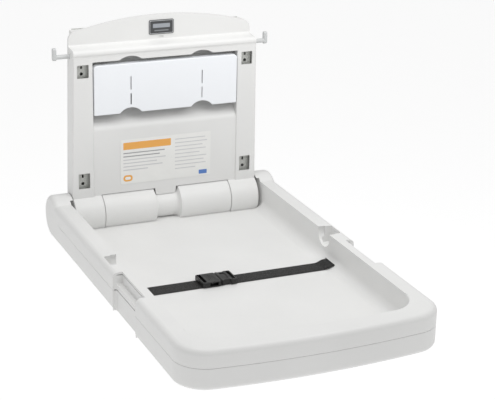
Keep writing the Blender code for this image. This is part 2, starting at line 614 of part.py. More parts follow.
def make_door():
    """Tilting cover of the liner dispenser, on two pins at its lower corners."""
    door_axis = axis_empty("door_axis", (0, DOOR_AXIS_Y, DOOR_AXIS_Z))
    corners = [(-DOOR_HALF, DOOR_LOW_Z), (DOOR_HALF, DOOR_LOW_Z),
               (DOOR_HALF, DOOR_HIGH_Z), (-DOOR_HALF, DOOR_HIGH_Z)]
    door = prism("dispenser_door", rounded(corners, [3 * MM, 3 * MM, 10 * MM, 10 * MM]), "Y",
                 DOOR_Y, DOOR_Y + DOOR_LIP, (WHITE_PLASTIC, 0.35))
    round_edges(door, edge_at(1, DOOR_Y), 2 * MM, 2)
    hollow = box("door_hollow", (-DOOR_HALF + DOOR_WALL, DOOR_Y + DOOR_WALL, DOOR_LOW_Z - MM),
                 (DOOR_HALF - DOOR_WALL, DOOR_Y + 2 * DOOR_LIP, DOOR_HIGH_Z - DOOR_WALL))
    cut(door, hollow)
    rise = 15 * MM
    notch_r = (NOTCH_WIDE ** 2 / 4 + rise ** 2) / (2 * rise)
    for side, name in ((-1, "left"), (1, "right")):
        x = side * SLOT_X
        cut(door, post(f"door_notch_{name}", notch_r, DOOR_Y - MM, DOOR_Y + 2 * DOOR_WALL, x,
                       DOOR_LOW_Z + rise - notch_r, "Y", sides=48))
        for number, (low, high) in enumerate(((35 * MM, 72 * MM), (81 * MM, 112 * MM)), 1):
            cut(door, box(f"door_slot_{number}_{name}",
                          (x - 1.5 * MM, DOOR_Y - MM, DOOR_HIGH_Z - high),
                          (x + 1.5 * MM, DOOR_Y + 2 * DOOR_WALL, DOOR_HIGH_Z - low)))
        x_low, x_high = across(side, DOOR_HALF - 6 * MM, RECESS_HALF + 4.5 * MM)
        rod(f"door_pin_{name}", DOOR_PIN_R, x_low, x_high, DOOR_AXIS_Y, DOOR_AXIS_Z, (STEEL, 0.3, 1.0), 16)
        cut(door, rod(f"door_bore_{name}", DOOR_PIN_R + GAP, x_low - MM, x_high + MM,
                      DOOR_AXIS_Y, DOOR_AXIS_Z, sides=16))
    hang(door_axis, door)


def make_hooks():
    for side, name in ((-1, "left"), (1, "right")):
        thick, wide, high = 10 * MM, 13 * MM, 34 * MM
        x_low, x_high = across(side, HOUSING_TOP_HALF - 12 * MM, HOOK_SPAN - thick / 2)
        hook = rod(f"bag_hook_{name}", HOOK_R, x_low, x_high, HOOK_Y, HOOK_Z, (ZINC, 0.35, 0.4), 20)
        low = HOOK_Z - 9 * MM
        corners = [(HOOK_Y - wide / 2, low), (HOOK_Y + wide / 2, low), (HOOK_Y + wide / 2, low + high),
                   (HOOK_Y - wide / 2, low + high)]
        end = prism(f"hook_end_{name}", rounded(corners, [6 * MM] * 4), "X",
                    *across(side, HOOK_SPAN - thick, HOOK_SPAN))
        join(hook, end)


def make_small_pieces():
    rod("hinge_rod", ROD_R, -ROD_HALF, ROD_HALF, AXIS_Y, 0, (STEEL, 0.25, 1.0), 24)
    label = [(-LABEL_WIDE / 2, LABEL_Z - LABEL_HIGH / 2), (LABEL_WIDE / 2, LABEL_Z - LABEL_HIGH / 2),
             (LABEL_WIDE / 2, LABEL_Z + LABEL_HIGH / 2), (-LABEL_WIDE / 2, LABEL_Z + LABEL_HIGH / 2)]
    prism("instruction_label", rounded(label, [3 * MM] * 4, 3), "Y", PANEL_Y - GAP - 0.5 * MM, PANEL_Y - GAP,
          ((0.9, 0.9, 0.88), 0.4))
    badge = [(-BADGE_WIDE / 2, BADGE_Z - BADGE_HIGH / 2), (BADGE_WIDE / 2, BADGE_Z - BADGE_HIGH / 2),
             (BADGE_WIDE / 2, BADGE_Z + BADGE_HIGH / 2), (-BADGE_WIDE / 2, BADGE_Z + BADGE_HIGH / 2)]
    prism("badge", rounded(badge, [4 * MM] * 4, 3), "Y", ARCH_Y - GAP - 1.6 * MM, ARCH_Y - GAP, (BLACK, 0.3))


# ---------------------------------------------------------------- safety strap and buckle


def webbing(name, side, inner_end):
    """A strip from the middle of the floor, up the fillet, into the slot in the side wall."""
    route = [(inner_end, STRAP_Z), (side * 238 * MM, STRAP_Z), (side * 250 * MM, STRAP_Z + 1.5 * MM),
             (side * 262 * MM, STRAP_END_Z), (side * 300 * MM, STRAP_END_Z)]
    half = STRAP_THICK / 2
    outline = [(x, z - half) for x, z in route] + [(x, z + half) for x, z in reversed(route)]
    return prism(name, outline, "Y", STRAP_Y - STRAP_WIDE / 2, STRAP_Y + STRAP_WIDE / 2, (BLACK, 0.85))


def make_strap(bed_axis):
    left = webbing("strap_left", -1, BUCKLE_X - 4 * MM)
    right = webbing("strap_right", 1, BUCKLE_X + 4 * MM)
    for side, name in ((-1, "left"), (1, "right")):
        x_low, x_high = across(side, 284 * MM, 302 * MM)
        top = STRAP_END_Z + STRAP_THICK / 2
        anchor = box(f"strap_anchor_{name}", (x_low, STRAP_Y - STRAP_WIDE / 2, top + GAP),
                     (x_high, STRAP_Y + STRAP_WIDE / 2, top + GAP + 2.5 * MM), (STEEL, 0.35, 1.0))
        hang(bed_axis, anchor)

    # socket: a flat box, open towards the plug and at both long sides for the prongs
    half = BUCKLE_WIDE / 2
    middle = BUCKLE_X - GAP
    socket = box("buckle_socket", (middle - SOCKET_LONG, STRAP_Y - half, BUCKLE_LOW),
                 (middle, STRAP_Y + half, BUCKLE_TOP), (BLACK, 0.4))
    round_edges(socket, lambda e: abs(e.verts[0].co.z - e.verts[1].co.z) > MM, 5 * MM, 3)
    room = box("socket_room",
               (middle - SOCKET_LONG + 8 * MM + WINDOW_LONG, STRAP_Y - half + 4.4 * MM, BUCKLE_LOW + 2.5 * MM),
               (middle + MM, STRAP_Y + half - 4.4 * MM, BUCKLE_TOP - 2.5 * MM))
    windows = box("socket_windows", (middle - 31 * MM, STRAP_Y - half - MM, BUCKLE_LOW + 2.5 * MM),
                  (middle - 9 * MM, STRAP_Y + half + MM, BUCKLE_TOP - 2.5 * MM))
    thread = box("socket_thread", (middle - SOCKET_LONG + 4 * MM, STRAP_Y - STRAP_WIDE / 2, BUCKLE_LOW - MM),
                 (middle - SOCKET_LONG + 4 * MM + WINDOW_LONG, STRAP_Y + STRAP_WIDE / 2, BUCKLE_TOP + MM))
    cut(socket, room, windows, thread)

    # plug: a bar with a tongue between two springy prongs
    release_axis = axis_empty("release_axis", (BUCKLE_X, STRAP_Y, BUCKLE_LOW + BUCKLE_HIGH / 2))
    plug = box("buckle_plug", (BUCKLE_X + GAP, STRAP_Y - half, BUCKLE_LOW),
               (BUCKLE_X + PLUG_LONG, STRAP_Y + half, BUCKLE_TOP), (BLACK, 0.4))
    round_edges(plug, lambda e: abs(e.verts[0].co.z - e.verts[1].co.z) > MM, 5 * MM, 3)
    low, high = BUCKLE_LOW + 3.2 * MM, BUCKLE_TOP - 3.2 * MM
    tongue = box("tongue", (BUCKLE_X - 28 * MM, STRAP_Y - 5 * MM, low),
                 (BUCKLE_X + 5 * MM, STRAP_Y + 5 * MM, high))
    join(plug, tongue)
    hang(release_axis, plug)
    prongs = []
    for side, name in ((-1, "front"), (1, "rear")):
        root = STRAP_Y + side * (half - 13 * MM)
        prong_axis = axis_empty(f"prong_axis_{name}", (BUCKLE_X - 1 * MM, root, (low + high) / 2))
        shape = [(-1, -2), (-1, 2), (-12, 4.5), (-26, 8), (-30, 4), (-30, 1), (-12, 0.5)]
        outline = [(BUCKLE_X + x * MM, root + side * y * MM) for x, y in shape]
        prong = prism(f"prong_{name}", outline, "Z", low, high, (BLACK, 0.4))
        hang(prong_axis, prong)
        prong_axis.parent = release_axis
        prong_axis.matrix_parent_inverse = Matrix.Translation(-Vector(release_axis.location))
        prongs.append(prong)
    hang(bed_axis, left, right, socket)
    release_axis.parent = bed_axis
    release_axis.matrix_parent_inverse = Matrix.Translation(-AXIS)


bed_axis = make_bed()
make_wall()
make_back()
make_door()
make_hooks()
make_small_pieces()
make_strap(bed_axis)
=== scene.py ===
# %% [markdown]
# # A fold-down changing table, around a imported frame
# The frame holds the working model: a wall unit, a bed that folds down on a hinge rod, a tilting cover and
# a safety strap. Every cell below makes one visible piece or one finish for it. Distances are in metres,
# +X is to the right, +Y runs into the wall and +Z is up; the origin is on the wall at hinge height.

# %% Load the frame
import math
import json
import bmesh
import bpy
from mathutils import Matrix, Vector


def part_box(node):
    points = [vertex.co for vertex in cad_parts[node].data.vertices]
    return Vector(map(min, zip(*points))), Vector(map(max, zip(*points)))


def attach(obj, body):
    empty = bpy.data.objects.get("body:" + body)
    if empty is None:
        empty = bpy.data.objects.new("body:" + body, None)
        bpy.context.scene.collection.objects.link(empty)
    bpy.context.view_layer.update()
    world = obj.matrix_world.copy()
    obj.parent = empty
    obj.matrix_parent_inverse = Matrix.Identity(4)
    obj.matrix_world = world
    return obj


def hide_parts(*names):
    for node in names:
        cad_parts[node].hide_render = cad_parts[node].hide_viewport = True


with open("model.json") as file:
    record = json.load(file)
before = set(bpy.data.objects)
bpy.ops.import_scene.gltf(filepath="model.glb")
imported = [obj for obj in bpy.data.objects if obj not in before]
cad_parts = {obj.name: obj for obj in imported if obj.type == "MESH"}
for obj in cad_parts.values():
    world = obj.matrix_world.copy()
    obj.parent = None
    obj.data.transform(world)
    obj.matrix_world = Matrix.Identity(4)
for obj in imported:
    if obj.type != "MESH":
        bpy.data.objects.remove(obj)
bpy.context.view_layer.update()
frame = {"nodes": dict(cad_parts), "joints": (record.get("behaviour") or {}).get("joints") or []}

MM = 0.001

# %% [markdown]
# ## The view
# The table is seen from the front left and a little above, as a person sees it who is about to use it. The
# camera is placed by its distance, azimuth and elevation from a point on the bed, so it is easy to reason
# about, and rolled by a degree and a half. A long lens keeps the bed from spreading towards the front.

# %% Camera
LOOK_AT = Vector((0.0509, -0.5202, 0.1591))
DISTANCE, AZIMUTH, ELEVATION, ROLL = 3.683, math.radians(-23.96), math.radians(20.01), math.radians(1.42)
back = Vector((math.sin(AZIMUTH) * math.cos(ELEVATION), -math.cos(AZIMUTH) * math.cos(ELEVATION),
               math.sin(ELEVATION)))
right = Vector((math.cos(AZIMUTH), math.sin(AZIMUTH), 0))
up = back.cross(right)
camera_x = right * math.cos(ROLL) + up * math.sin(ROLL)
camera_y = up * math.cos(ROLL) - right * math.sin(ROLL)
bpy.ops.object.camera_add()
camera = bpy.context.object
camera.name = "camera"
camera.matrix_world = Matrix.Translation(LOOK_AT + back * DISTANCE) @ Matrix(
    (camera_x, camera_y, back)).transposed().to_4x4()
camera.data.lens, camera.data.sensor_width = 108.35, 36
bpy.context.scene.camera = camera
print("camera at", [round(value, 2) for value in camera.matrix_world.translation])

# %% [markdown]
# ## Studio
# The floor is plain and pale and lies well below the table, which hangs on a wall. It glows a little, as a
# lit sweep does. One large soft light hangs over the bed, a little to the left, so the basin and the housing
# are brighter than the outer faces of the bed. A weaker one on the right opens the shadows, and a pale world
# fills the rest.

# %% Floor, lights and world
FLOOR_Z = -0.80
bpy.ops.mesh.primitive_plane_add(size=30, location=(0, 0, FLOOR_Z))
floor = bpy.context.object
floor.name = "studio_floor"
bpy.ops.object.transform_apply(location=True, rotation=True, scale=True)


def soft_light(name, place, target, size, watts):
    """A square area light that points at a target."""
    bpy.ops.object.light_add(type="AREA", location=place)
    lamp = bpy.context.object
    lamp.name = name
    lamp.data.size = size
    lamp.data.energy = watts
    lamp.rotation_euler = (Vector(target) - Vector(place)).to_track_quat("-Z", "Y").to_euler()
    return lamp


soft_light("key_light", (-0.28, -0.65, 1.75), (0.05, -0.40, 0.0), 1.2, 11.5)
soft_light("fill_light", (0.5, -0.95, 1.25), (0, -0.05, 0.25), 0.8, 5)
world = bpy.data.worlds.new("studio")
bpy.context.scene.world = world
world.use_nodes = True
world.node_tree.nodes["Background"].inputs["Color"].default_value = (1.0, 1.0, 1.0, 1.0)
world.node_tree.nodes["Background"].inputs["Strength"].default_value = 0.52
bpy.context.scene.view_settings.view_transform = "Standard"
print("floor at", FLOOR_Z, "and two area lights")

# %% [markdown]
# ## Finishes
# Moulded plastic is never one flat colour: the mould leaves a fine grain, the wall dries a little unevenly,
# and the gloss varies from place to place. Each finish below is built from the same few nodes. Noise on
# Object coordinates gives the grain, since no piece is unwrapped, and feeds the bump, the roughness and a
# very small change of colour.

# %% Helpers for finishes
def new_finish(name, colour, roughness, metallic=0.0):
    """A Principled finish; gives back the material, its node tree and its shader."""
    made = bpy.data.materials.new(name)
    made.use_nodes = True
    shader = made.node_tree.nodes["Principled BSDF"]
    shader.inputs["Base Color"].default_value = (*colour, 1)
    shader.inputs["Roughness"].default_value = roughness
    shader.inputs["Metallic"].default_value = metallic
    return made, made.node_tree, shader


def noise(tree, scale, detail=3.0, stretch=(1, 1, 1)):
    """Noise on Object coordinates, stretched along the axes; gives back its 0 to 1 output."""
    place = tree.nodes.new("ShaderNodeTexCoord")
    turn = tree.nodes.new("ShaderNodeMapping")
    turn.inputs["Scale"].default_value = stretch
    made = tree.nodes.new("ShaderNodeTexNoise")
    made.inputs["Scale"].default_value = scale
    made.inputs["Detail"].default_value = detail
    tree.links.new(place.outputs["Object"], turn.inputs["Vector"])
    tree.links.new(turn.outputs["Vector"], made.inputs["Vector"])
    return made.outputs["Fac"]


def spread(tree, value, low, high, start=0.0, end=1.0):
    """Map a value from start..end to low..high."""
    made = tree.nodes.new("ShaderNodeMapRange")
    made.inputs["From Min"].default_value = start
    made.inputs["From Max"].default_value = end
    made.inputs["To Min"].default_value = low
    made.inputs["To Max"].default_value = high
    tree.links.new(value, made.inputs["Value"])
    return made.outputs["Result"]


def blend_colours(tree, factor, first, second):
    """Mix two colours, or outputs, by a 0 to 1 value."""
    made = tree.nodes.new("ShaderNodeMix")
    made.data_type = "RGBA"
    tree.links.new(factor, made.inputs["Factor"])
    for socket, colour in ((made.inputs[6], first), (made.inputs[7], second)):
        if isinstance(colour, tuple):
            socket.default_value = (*colour, 1)
        else:
            tree.links.new(colour, socket)
    return made.outputs[2]


def bump(tree, shader, height, strength, distance):
    made = tree.nodes.new("ShaderNodeBump")
    made.inputs["Strength"].default_value = strength
    made.inputs["Distance"].default_value = distance
    tree.links.new(height, made.inputs["Height"])
    tree.links.new(made.outputs["Normal"], shader.inputs["Normal"])


def moulded(name, colour, roughness, grain=900, depth=0.00012, tint=0.97):
    """Moulded plastic: fine grain, slightly uneven gloss and tone."""
    made, tree, shader = new_finish(name, colour, roughness)
    uneven = noise(tree, 5, 2)
    darker = tuple(channel * tint for channel in colour)
    tree.links.new(blend_colours(tree, spread(tree, uneven, 0, 1, 0.35, 0.65), darker, colour),
                   shader.inputs["Base Color"])
    tree.links.new(spread(tree, noise(tree, 60), roughness - 0.05, roughness + 0.06, 0.3, 0.7),
                   shader.inputs["Roughness"])
    bump(tree, shader, noise(tree, grain, 2), 0.35, depth)
    return made


def brushed(name, colour, roughness, metallic, stretch):
    """Rolled or turned metal: fine lines along one way, and a slightly cloudy surface."""
    made, tree, shader = new_finish(name, colour, roughness, metallic)
    lines = noise(tree, 300, 3, stretch)
    darker = tuple(channel * 0.82 for channel in colour)
    tree.links.new(blend_colours(tree, lines, darker, colour), shader.inputs["Base Color"])
    tree.links.new(spread(tree, noise(tree, 40, 4), roughness - 0.08, roughness + 0.12, 0.3, 0.7),
                   shader.inputs["Roughness"])
    bump(tree, shader, lines, 0.25, 0.00006)
    return made


# %% The plain finishes
grey_plastic = moulded("grey_plastic", (0.80, 0.80, 0.79), 0.46)
cover_plastic = moulded("cover_moulding", (0.90, 0.92, 0.95), 0.34, 900, 0.00002, 0.992)
hook_plastic = moulded("hook_plastic", (0.60, 0.61, 0.61), 0.38, 1200, 0.00008)
black_plastic = moulded("black_plastic", (0.011, 0.011, 0.011), 0.38, 1600, 0.00008, 0.8)
nylon = moulded("bush_nylon", (0.82, 0.80, 0.74), 0.42, 1100, 0.00006)
rolled_zinc = brushed("rolled_zinc", (0.66, 0.67, 0.64), 0.42, 0.35, (1, 1, 0.05))
turned_steel = brushed("turned_steel", (0.62, 0.62, 0.61), 0.30, 1.0, (0.03, 1, 1))
floor_paint = moulded("floor_paint", (0.86, 0.86, 0.86), 0.8, 200, 0.0001, 0.995)
floor_paint.node_tree.nodes["Principled BSDF"].inputs["Emission Color"].default_value = (1.0, 1.0, 1.0, 1.0)
floor_paint.node_tree.nodes["Principled BSDF"].inputs["Emission Strength"].default_value = 0.50
floor.data.materials.append(floor_paint)
print("finishes:", ", ".join(finish.name for finish in bpy.data.materials if finish.use_nodes))

# %% [markdown]
# ## How the pieces are modelled
# The table is made of big moulded shells: blocks with round corners, with a basin, notches and hollows cut
# out of them. So each piece starts as a cube or a cylinder at its real size, has its corners rounded with
# Bevel in edit mode, and is cut or joined with Boolean. A modifier could do the rounding at the very end,
# but rounding chosen edges one group at a time lets a rim be soft and a seam stay crisp.

# %% Helpers for modelling
def only(piece):
    """Select one piece and nothing else."""
    bpy.ops.object.select_all(action="DESELECT")
    piece.select_set(True)
    bpy.context.view_layer.objects.active = piece


def settled(name):
    """Name the new object and put its place, turn and size into its mesh."""
    piece = bpy.context.object
    piece.name = name
    only(piece)
    bpy.ops.object.transform_apply(location=True, rotation=True, scale=True)
    return piece


def block(name, low, high):
    """A box between two corners."""
    low, high = Vector(low), Vector(high)
    bpy.ops.object.select_all(action="DESELECT")
    bpy.ops.mesh.primitive_cube_add(size=1, location=(low + high) / 2, scale=high - low)
    return settled(name)


def roller(name, radius, x_low, x_high, y, z, sides=96):
    """A cylinder along X."""
    bpy.ops.object.select_all(action="DESELECT")
    bpy.ops.mesh.primitive_cylinder_add(vertices=sides, radius=radius, depth=x_high - x_low,
                                        location=((x_low + x_high) / 2, y, z), rotation=(0, math.pi / 2, 0))
    return settled(name)


def peg(name, radius, low, high, sides=32):
    """A cylinder between two points, in any direction."""
    low, high = Vector(low), Vector(high)
    turn = (high - low).to_track_quat("Z", "Y").to_euler()
    bpy.ops.object.select_all(action="DESELECT")
    bpy.ops.mesh.primitive_cylinder_add(vertices=sides, radius=radius, depth=(high - low).length,
                                        location=(low + high) / 2, rotation=turn)
    return settled(name)


def pick_edges(piece, chosen, angle=25):
    """Open a piece in edit mode with the sharp edges selected whose two ends pass a test."""
    only(piece)
    bpy.ops.object.mode_set(mode="EDIT")
    bpy.ops.mesh.select_mode(type="EDGE")
    bpy.ops.mesh.select_all(action="DESELECT")
    grid = bmesh.from_edit_mesh(piece.data)
    count = 0
    for edge in grid.edges:
        if edge.calc_face_angle(0) > math.radians(angle) and chosen(edge.verts[0].co, edge.verts[1].co):
            edge.select_set(True)
            count += 1
    bmesh.update_edit_mesh(piece.data)
    return count


def soften(piece, radius, chosen, segments=6, angle=25, clamp=False):
    """Round the sharp edges that pass a test; clamp keeps the rounding off short neighbours."""
    count = pick_edges(piece, chosen, angle)
    if count:
        bpy.ops.mesh.bevel(offset=radius, segments=segments, profile=0.5, affect="EDGES",
                           clamp_overlap=clamp)
    bpy.ops.object.mode_set(mode="OBJECT")
    return count


def both(test):
    """A test of an edge: both of its ends pass."""
    return lambda first, last: test(first) and test(last)


def near(value, target, reach=0.02 * MM):
    return abs(value - target) < reach


def combine(piece, operation, tools):
    """Cut the tools out of a piece, or join them to it; the tools are used up."""
    for tool in tools:
        step = piece.modifiers.new(tool.name, "BOOLEAN")
        step.operation, step.solver, step.object = operation, "EXACT", tool
        only(piece)
        bpy.ops.object.modifier_apply(modifier=step.name)
        bpy.data.objects.remove(tool, do_unlink=True)
    return piece


def cut(piece, *tools):
    return combine(piece, "DIFFERENCE", tools)


def join(piece, *tools):
    return combine(piece, "UNION", tools)


def clean(piece):
    """Merge doubled points and drop the slivers that the cuts left behind."""
    only(piece)
    bpy.ops.object.mode_set(mode="EDIT")
    bpy.ops.mesh.select_all(action="SELECT")
    bpy.ops.mesh.remove_doubles(threshold=0.03 * MM)
    bpy.ops.mesh.dissolve_degenerate(threshold=0.01 * MM)
    bpy.ops.object.mode_set(mode="OBJECT")
    return piece


def profile(name, corners, axis, low, high, segments=6):
    """A flat outline extruded along X, Y or Z. Each corner is (a, b, radius), where a and b are the other
    two coordinates in x, y, z order."""
    along = "XYZ".index(axis)
    first, second = [i for i in range(3) if i != along]
    bpy.ops.object.select_all(action="DESELECT")
    bpy.ops.mesh.primitive_circle_add(vertices=len(corners), fill_type="NGON")
    piece = settled(name)
    for vertex, (a, b, _) in zip(piece.data.vertices, corners):
        vertex.co[along], vertex.co[first], vertex.co[second] = low, a, b
    only(piece)
    bpy.ops.object.mode_set(mode="EDIT")
    bpy.ops.mesh.select_all(action="SELECT")
    push = [0, 0, 0]
    push[along] = high - low
    bpy.ops.mesh.extrude_region_move(TRANSFORM_OT_translate={"value": push})
    bpy.ops.mesh.select_all(action="SELECT")
    bpy.ops.mesh.normals_make_consistent(inside=False)
    bpy.ops.object.mode_set(mode="OBJECT")
    for radius in sorted({corner[2] for corner in corners if corner[2]}):
        places = [(a, b) for a, b, its_radius in corners if its_radius == radius]
        soften(piece, radius, lambda p, q: any(
            near(p[first], a) and near(q[first], a) and near(p[second], b) and near(q[second], b)
            for a, b in places), segments)
    return piece


def span(side, near_x, far_x):
    """Two x values in rising order, on one side of the centre line."""
    return sorted((side * near_x, side * far_x))


def hand_over(piece, finish, body, replaced=(), angle=40):
    """Shade a finished piece, give it its finish, and let it ride on its body."""
    only(piece)
    bpy.ops.object.shade_smooth_by_angle(angle=math.radians(angle))
    step = piece.modifiers.new("even_shading", "WEIGHTED_NORMAL")
    step.keep_sharp = True
    bpy.ops.object.modifier_apply(modifier=step.name)
    piece.data.materials.clear()
    piece.data.materials.append(finish)
    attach(piece, body)
    if replaced:
        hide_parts(*replaced)
    print(f"{piece.name}: {len(piece.data.polygons)} faces on {body}")
    return piece

# %% [markdown]
# ## The bed: upper shell
# The bed is two moulded shells that meet in a seam half way up its side. The upper one carries the basin,
# the rim, the hand grips and the round rear ends that turn on the hinge. It could be one sculpted mesh, but
# its shapes are plain and exact, so it is a block with a hollow in it. The basin hangs into the hollow as a
# skin of its own, and every recess is cut last, so that each keeps a wall round it.

# %% Sizes of the bed, from the frame
hinge = next(joint for joint in frame["joints"] if joint["name"] == "bed_fold")["pos_m"]
AXIS_Y = hinge[1]
lower_low, lower_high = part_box("bed_lower_shell")
upper_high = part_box("bed_upper_shell")[1]
HALF = lower_high.x
FRONT = lower_low.y
BOTTOM = lower_low.z
SEAM = lower_high.z + 0.15 * MM
HUB_R = upper_high.y - AXIS_Y
REAR = lower_high.y + 0.3 * MM
RIM = 42 * MM
BASIN_FLOOR = -33 * MM
WALL = 4 * MM
BOW, CORNER = 24 * MM, 66 * MM
BASIN_HALF, BASIN_FRONT = 275 * MM, FRONT + 60 * MM
BASIN_BOW, BASIN_CORNER, BASIN_FILLET = 8 * MM, 72 * MM, 26 * MM
RIM_ROUND = 15 * MM
print(f"bed {2 * HALF:.3f} wide, front at {FRONT:.3f}, seam at {SEAM:.4f}")


# %% A tray: the plan that the shells and the basin share
def tray(name, half, front, rear, low, high, bow, corner):
    """A block with round front corners and a front edge that bows out in the middle."""
    piece = block(name, (-half, front, low), (half, rear, high))
    soften(piece, corner, lambda a, b: near(a.y, front) and near(b.y, front) and near(a.x, b.x), 16)
    bpy.ops.object.mode_set(mode="EDIT")
    strips = 16
    for number in range(1, strips):
        bpy.ops.mesh.select_all(action="SELECT")
        place = (half - corner) * (2 * number / strips - 1)
        bpy.ops.mesh.bisect(plane_co=(place, 0, 0), plane_no=(1, 0, 0))
    bpy.ops.object.mode_set(mode="OBJECT")
    for vertex in piece.data.vertices:
        forward = (rear - vertex.co.y) / (rear - front)
        vertex.co.y += bow * (vertex.co.x / half) ** 2 * forward
    return piece


# %% Upper shell: the hollow block and the skins inside it
HUB_FRONT = REAR - WALL
upper = tray("upper_shell", HALF, FRONT, AXIS_Y, SEAM, RIM, BOW, CORNER)
soften(upper, RIM_ROUND, lambda a, b: near(a.z, RIM) and near(b.z, RIM) and not (
    near(a.y, AXIS_Y) and near(b.y, AXIS_Y)), 7, 60)
soften(upper, 1.0 * MM, lambda a, b: near(a.z, SEAM) and near(b.z, SEAM), 2, 60)
hollow = tray("hollow", HALF - WALL, FRONT + WALL, HUB_FRONT, BOTTOM, RIM - WALL - 2 * MM, BOW, CORNER - WALL)
soften(hollow, RIM_ROUND - WALL, lambda a, b: a.z > RIM - 8 * MM and b.z > RIM - 8 * MM, 4, 60)
skin = tray("basin_skin", BASIN_HALF + WALL, BASIN_FRONT - WALL, AXIS_Y, BASIN_FLOOR - WALL, RIM - 1.5 * MM,
            BASIN_BOW, BASIN_CORNER + WALL)
soften(skin, BASIN_FILLET, both(lambda p: near(p.z, BASIN_FLOOR - WALL)), 8, 60)
cut(upper, hollow)
join(upper, skin)

# the round rear ends, which the seam does not cross
for side, name in ((-1, "left"), (1, "right")):
    x_low, x_high = span(side, BASIN_HALF - 2 * WALL, HALF - 0.4 * MM)
    hub = roller(f"hub_{name}", HUB_R, x_low, x_high, AXIS_Y, 0, 128)
    soften(hub, 13 * MM, both(lambda p: near(p.x, side * (HALF - 0.4 * MM))), 7)
    heel = block(f"heel_{name}", (x_low, HUB_FRONT, BOTTOM + 0.4 * MM), (x_high, AXIS_Y, RIM - RIM_ROUND))
    soften(heel, 10 * MM, lambda a, b: near(a.x, side * (HALF - 0.4 * MM)) and near(b.x, a.x)
           and near(a.z, BOTTOM + 0.4 * MM) and near(b.z, a.z), 6)
    join(upper, heel, hub)

# %% Skins round the grips and the grooves for the bag hooks
GRIP_NEAR, GRIP_FAR = AXIS_Y - 520 * MM, AXIS_Y - 680 * MM
GRIP_INNER, GRIP_FLOOR, FINGER_DEEP = 297 * MM, 11 * MM, 10 * MM
hook_low, hook_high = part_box("bag_hook_right")
HOOK_HEIGHT = (hook_low.z + hook_high.z) / 2 - 8 * MM
GROOVE_Y = AXIS_Y - HOOK_HEIGHT - 8 * MM
WELL_FLOOR = -1 * MM
grips, fingers = [], []
for side, name in ((-1, "left"), (1, "right")):
    x_low, x_high = span(side, GRIP_INNER, HALF + 2 * WALL)
    grip = block(f"grip_{name}", (x_low, GRIP_FAR, GRIP_FLOOR), (x_high, GRIP_NEAR, RIM + WALL))
    soften(grip, 7 * MM, lambda a, b: near(a.z, GRIP_FLOOR) and near(b.z, GRIP_FLOOR)
           and near(a.y, b.y) and abs(a.x - b.x) > MM, 5)
    grips.append(grip)
    x_low, x_high = span(side, HALF - FINGER_DEEP, HALF + 2 * FINGER_DEEP)
    finger = block(f"finger_{name}", (x_low, GRIP_FAR, BOTTOM - WALL), (x_high, GRIP_NEAR, RIM + WALL))
    soften(finger, 5 * MM, lambda a, b: near(abs(a.x), HALF - FINGER_DEEP) and near(abs(b.x), abs(a.x))
           and abs(a.z - b.z) > MM, 5)
    fingers.append(finger)
    x_low, x_high = span(side, GRIP_INNER - WALL, HALF - 1 * MM)
    join(upper, block("grip_skin", (x_low, GRIP_FAR - WALL, GRIP_FLOOR - WALL),
                      (x_high, GRIP_NEAR + WALL, RIM - 8 * MM)))
    x_low, x_high = span(side, HALF - FINGER_DEEP - WALL, HALF - 1.5 * MM)
    join(upper, block("finger_skin", (x_low, GRIP_FAR - WALL - MM, SEAM + MM),
                      (x_high, GRIP_NEAR + WALL + MM, GRIP_FLOOR)))
    x_low, x_high = span(side, BASIN_HALF + 2 * MM, HALF - 8 * MM)
    join(upper, block("well_skin", (x_low, GROOVE_Y - 41 * MM, WELL_FLOOR - WALL),
                      (x_high, GROOVE_Y + 40 * MM, RIM - 2.5 * MM)))
print("grips from", round(GRIP_FAR, 3), "to", round(GRIP_NEAR, 3), "grooves at", round(GROOVE_Y, 3))

# %% Upper shell: the basin, the barrel of the hinge and the rooms for the knuckles
BARREL_R, BARREL_HALF, KNUCKLE_ROOM = 54 * MM, 182.3 * MM, 57.5 * MM
NECK_R, NECK_HALF, NECK_SLOPE = 37 * MM, 31 * MM, 7 * MM
ROD_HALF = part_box("hinge_rod")[1].x
BUSH_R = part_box("bush_inner_right")[1].z + 0.3 * MM
basin = tray("basin", BASIN_HALF, BASIN_FRONT, MM, BASIN_FLOOR, RIM + 2 * WALL, BASIN_BOW, BASIN_CORNER)
soften(basin, BASIN_FILLET, lambda a, b: near(a.z, BASIN_FLOOR) and near(b.z, BASIN_FLOOR) and not (
    near(a.y, MM) and near(b.y, MM)), 12, 60)
cut(upper, basin)
soften(upper, 5 * MM, lambda a, b: near(a.z, RIM) and near(b.z, RIM) and abs(a.x) < BASIN_HALF + MM
       and abs(b.x) < BASIN_HALF + MM and max(a.y, b.y) < AXIS_Y - 45 * MM, 4, 60)
for side, name in ((-1, "left"), (1, "right")):
    x_low, x_high = span(side, BARREL_HALF, BASIN_HALF)
    room = roller(f"knuckle_room_{name}", KNUCKLE_ROOM, x_low, x_high, AXIS_Y, 0)
    behind = block(f"behind_{name}", (x_low, AXIS_Y - 2 * MM, BOTTOM - 2 * WALL),
                   (x_high, MM, RIM + 2 * WALL))
    cut(upper, room, behind)
barrel = roller("barrel", BARREL_R, -BARREL_HALF, BARREL_HALF, AXIS_Y, 0, 128)
soften(barrel, 2 * MM, both(lambda p: near(abs(p.x), BARREL_HALF)), 3)
lip = block("lip", (-BARREL_HALF + MM, HUB_FRONT, BOTTOM + 0.4 * MM),
            (BARREL_HALF - MM, AXIS_Y - 0.55 * BARREL_R, BASIN_FLOOR - 0.5 * MM))
join(upper, barrel, lip)
neck_profile = [(-NECK_HALF - NECK_SLOPE, BARREL_R + 2 * WALL, 0), (-NECK_HALF, NECK_R, 6 * MM),
                (NECK_HALF, NECK_R, 6 * MM), (NECK_HALF + NECK_SLOPE, BARREL_R + 2 * WALL, 0)]
print("barrel", round(2 * BARREL_HALF, 3), "long, neck", round(2 * NECK_HALF, 3))


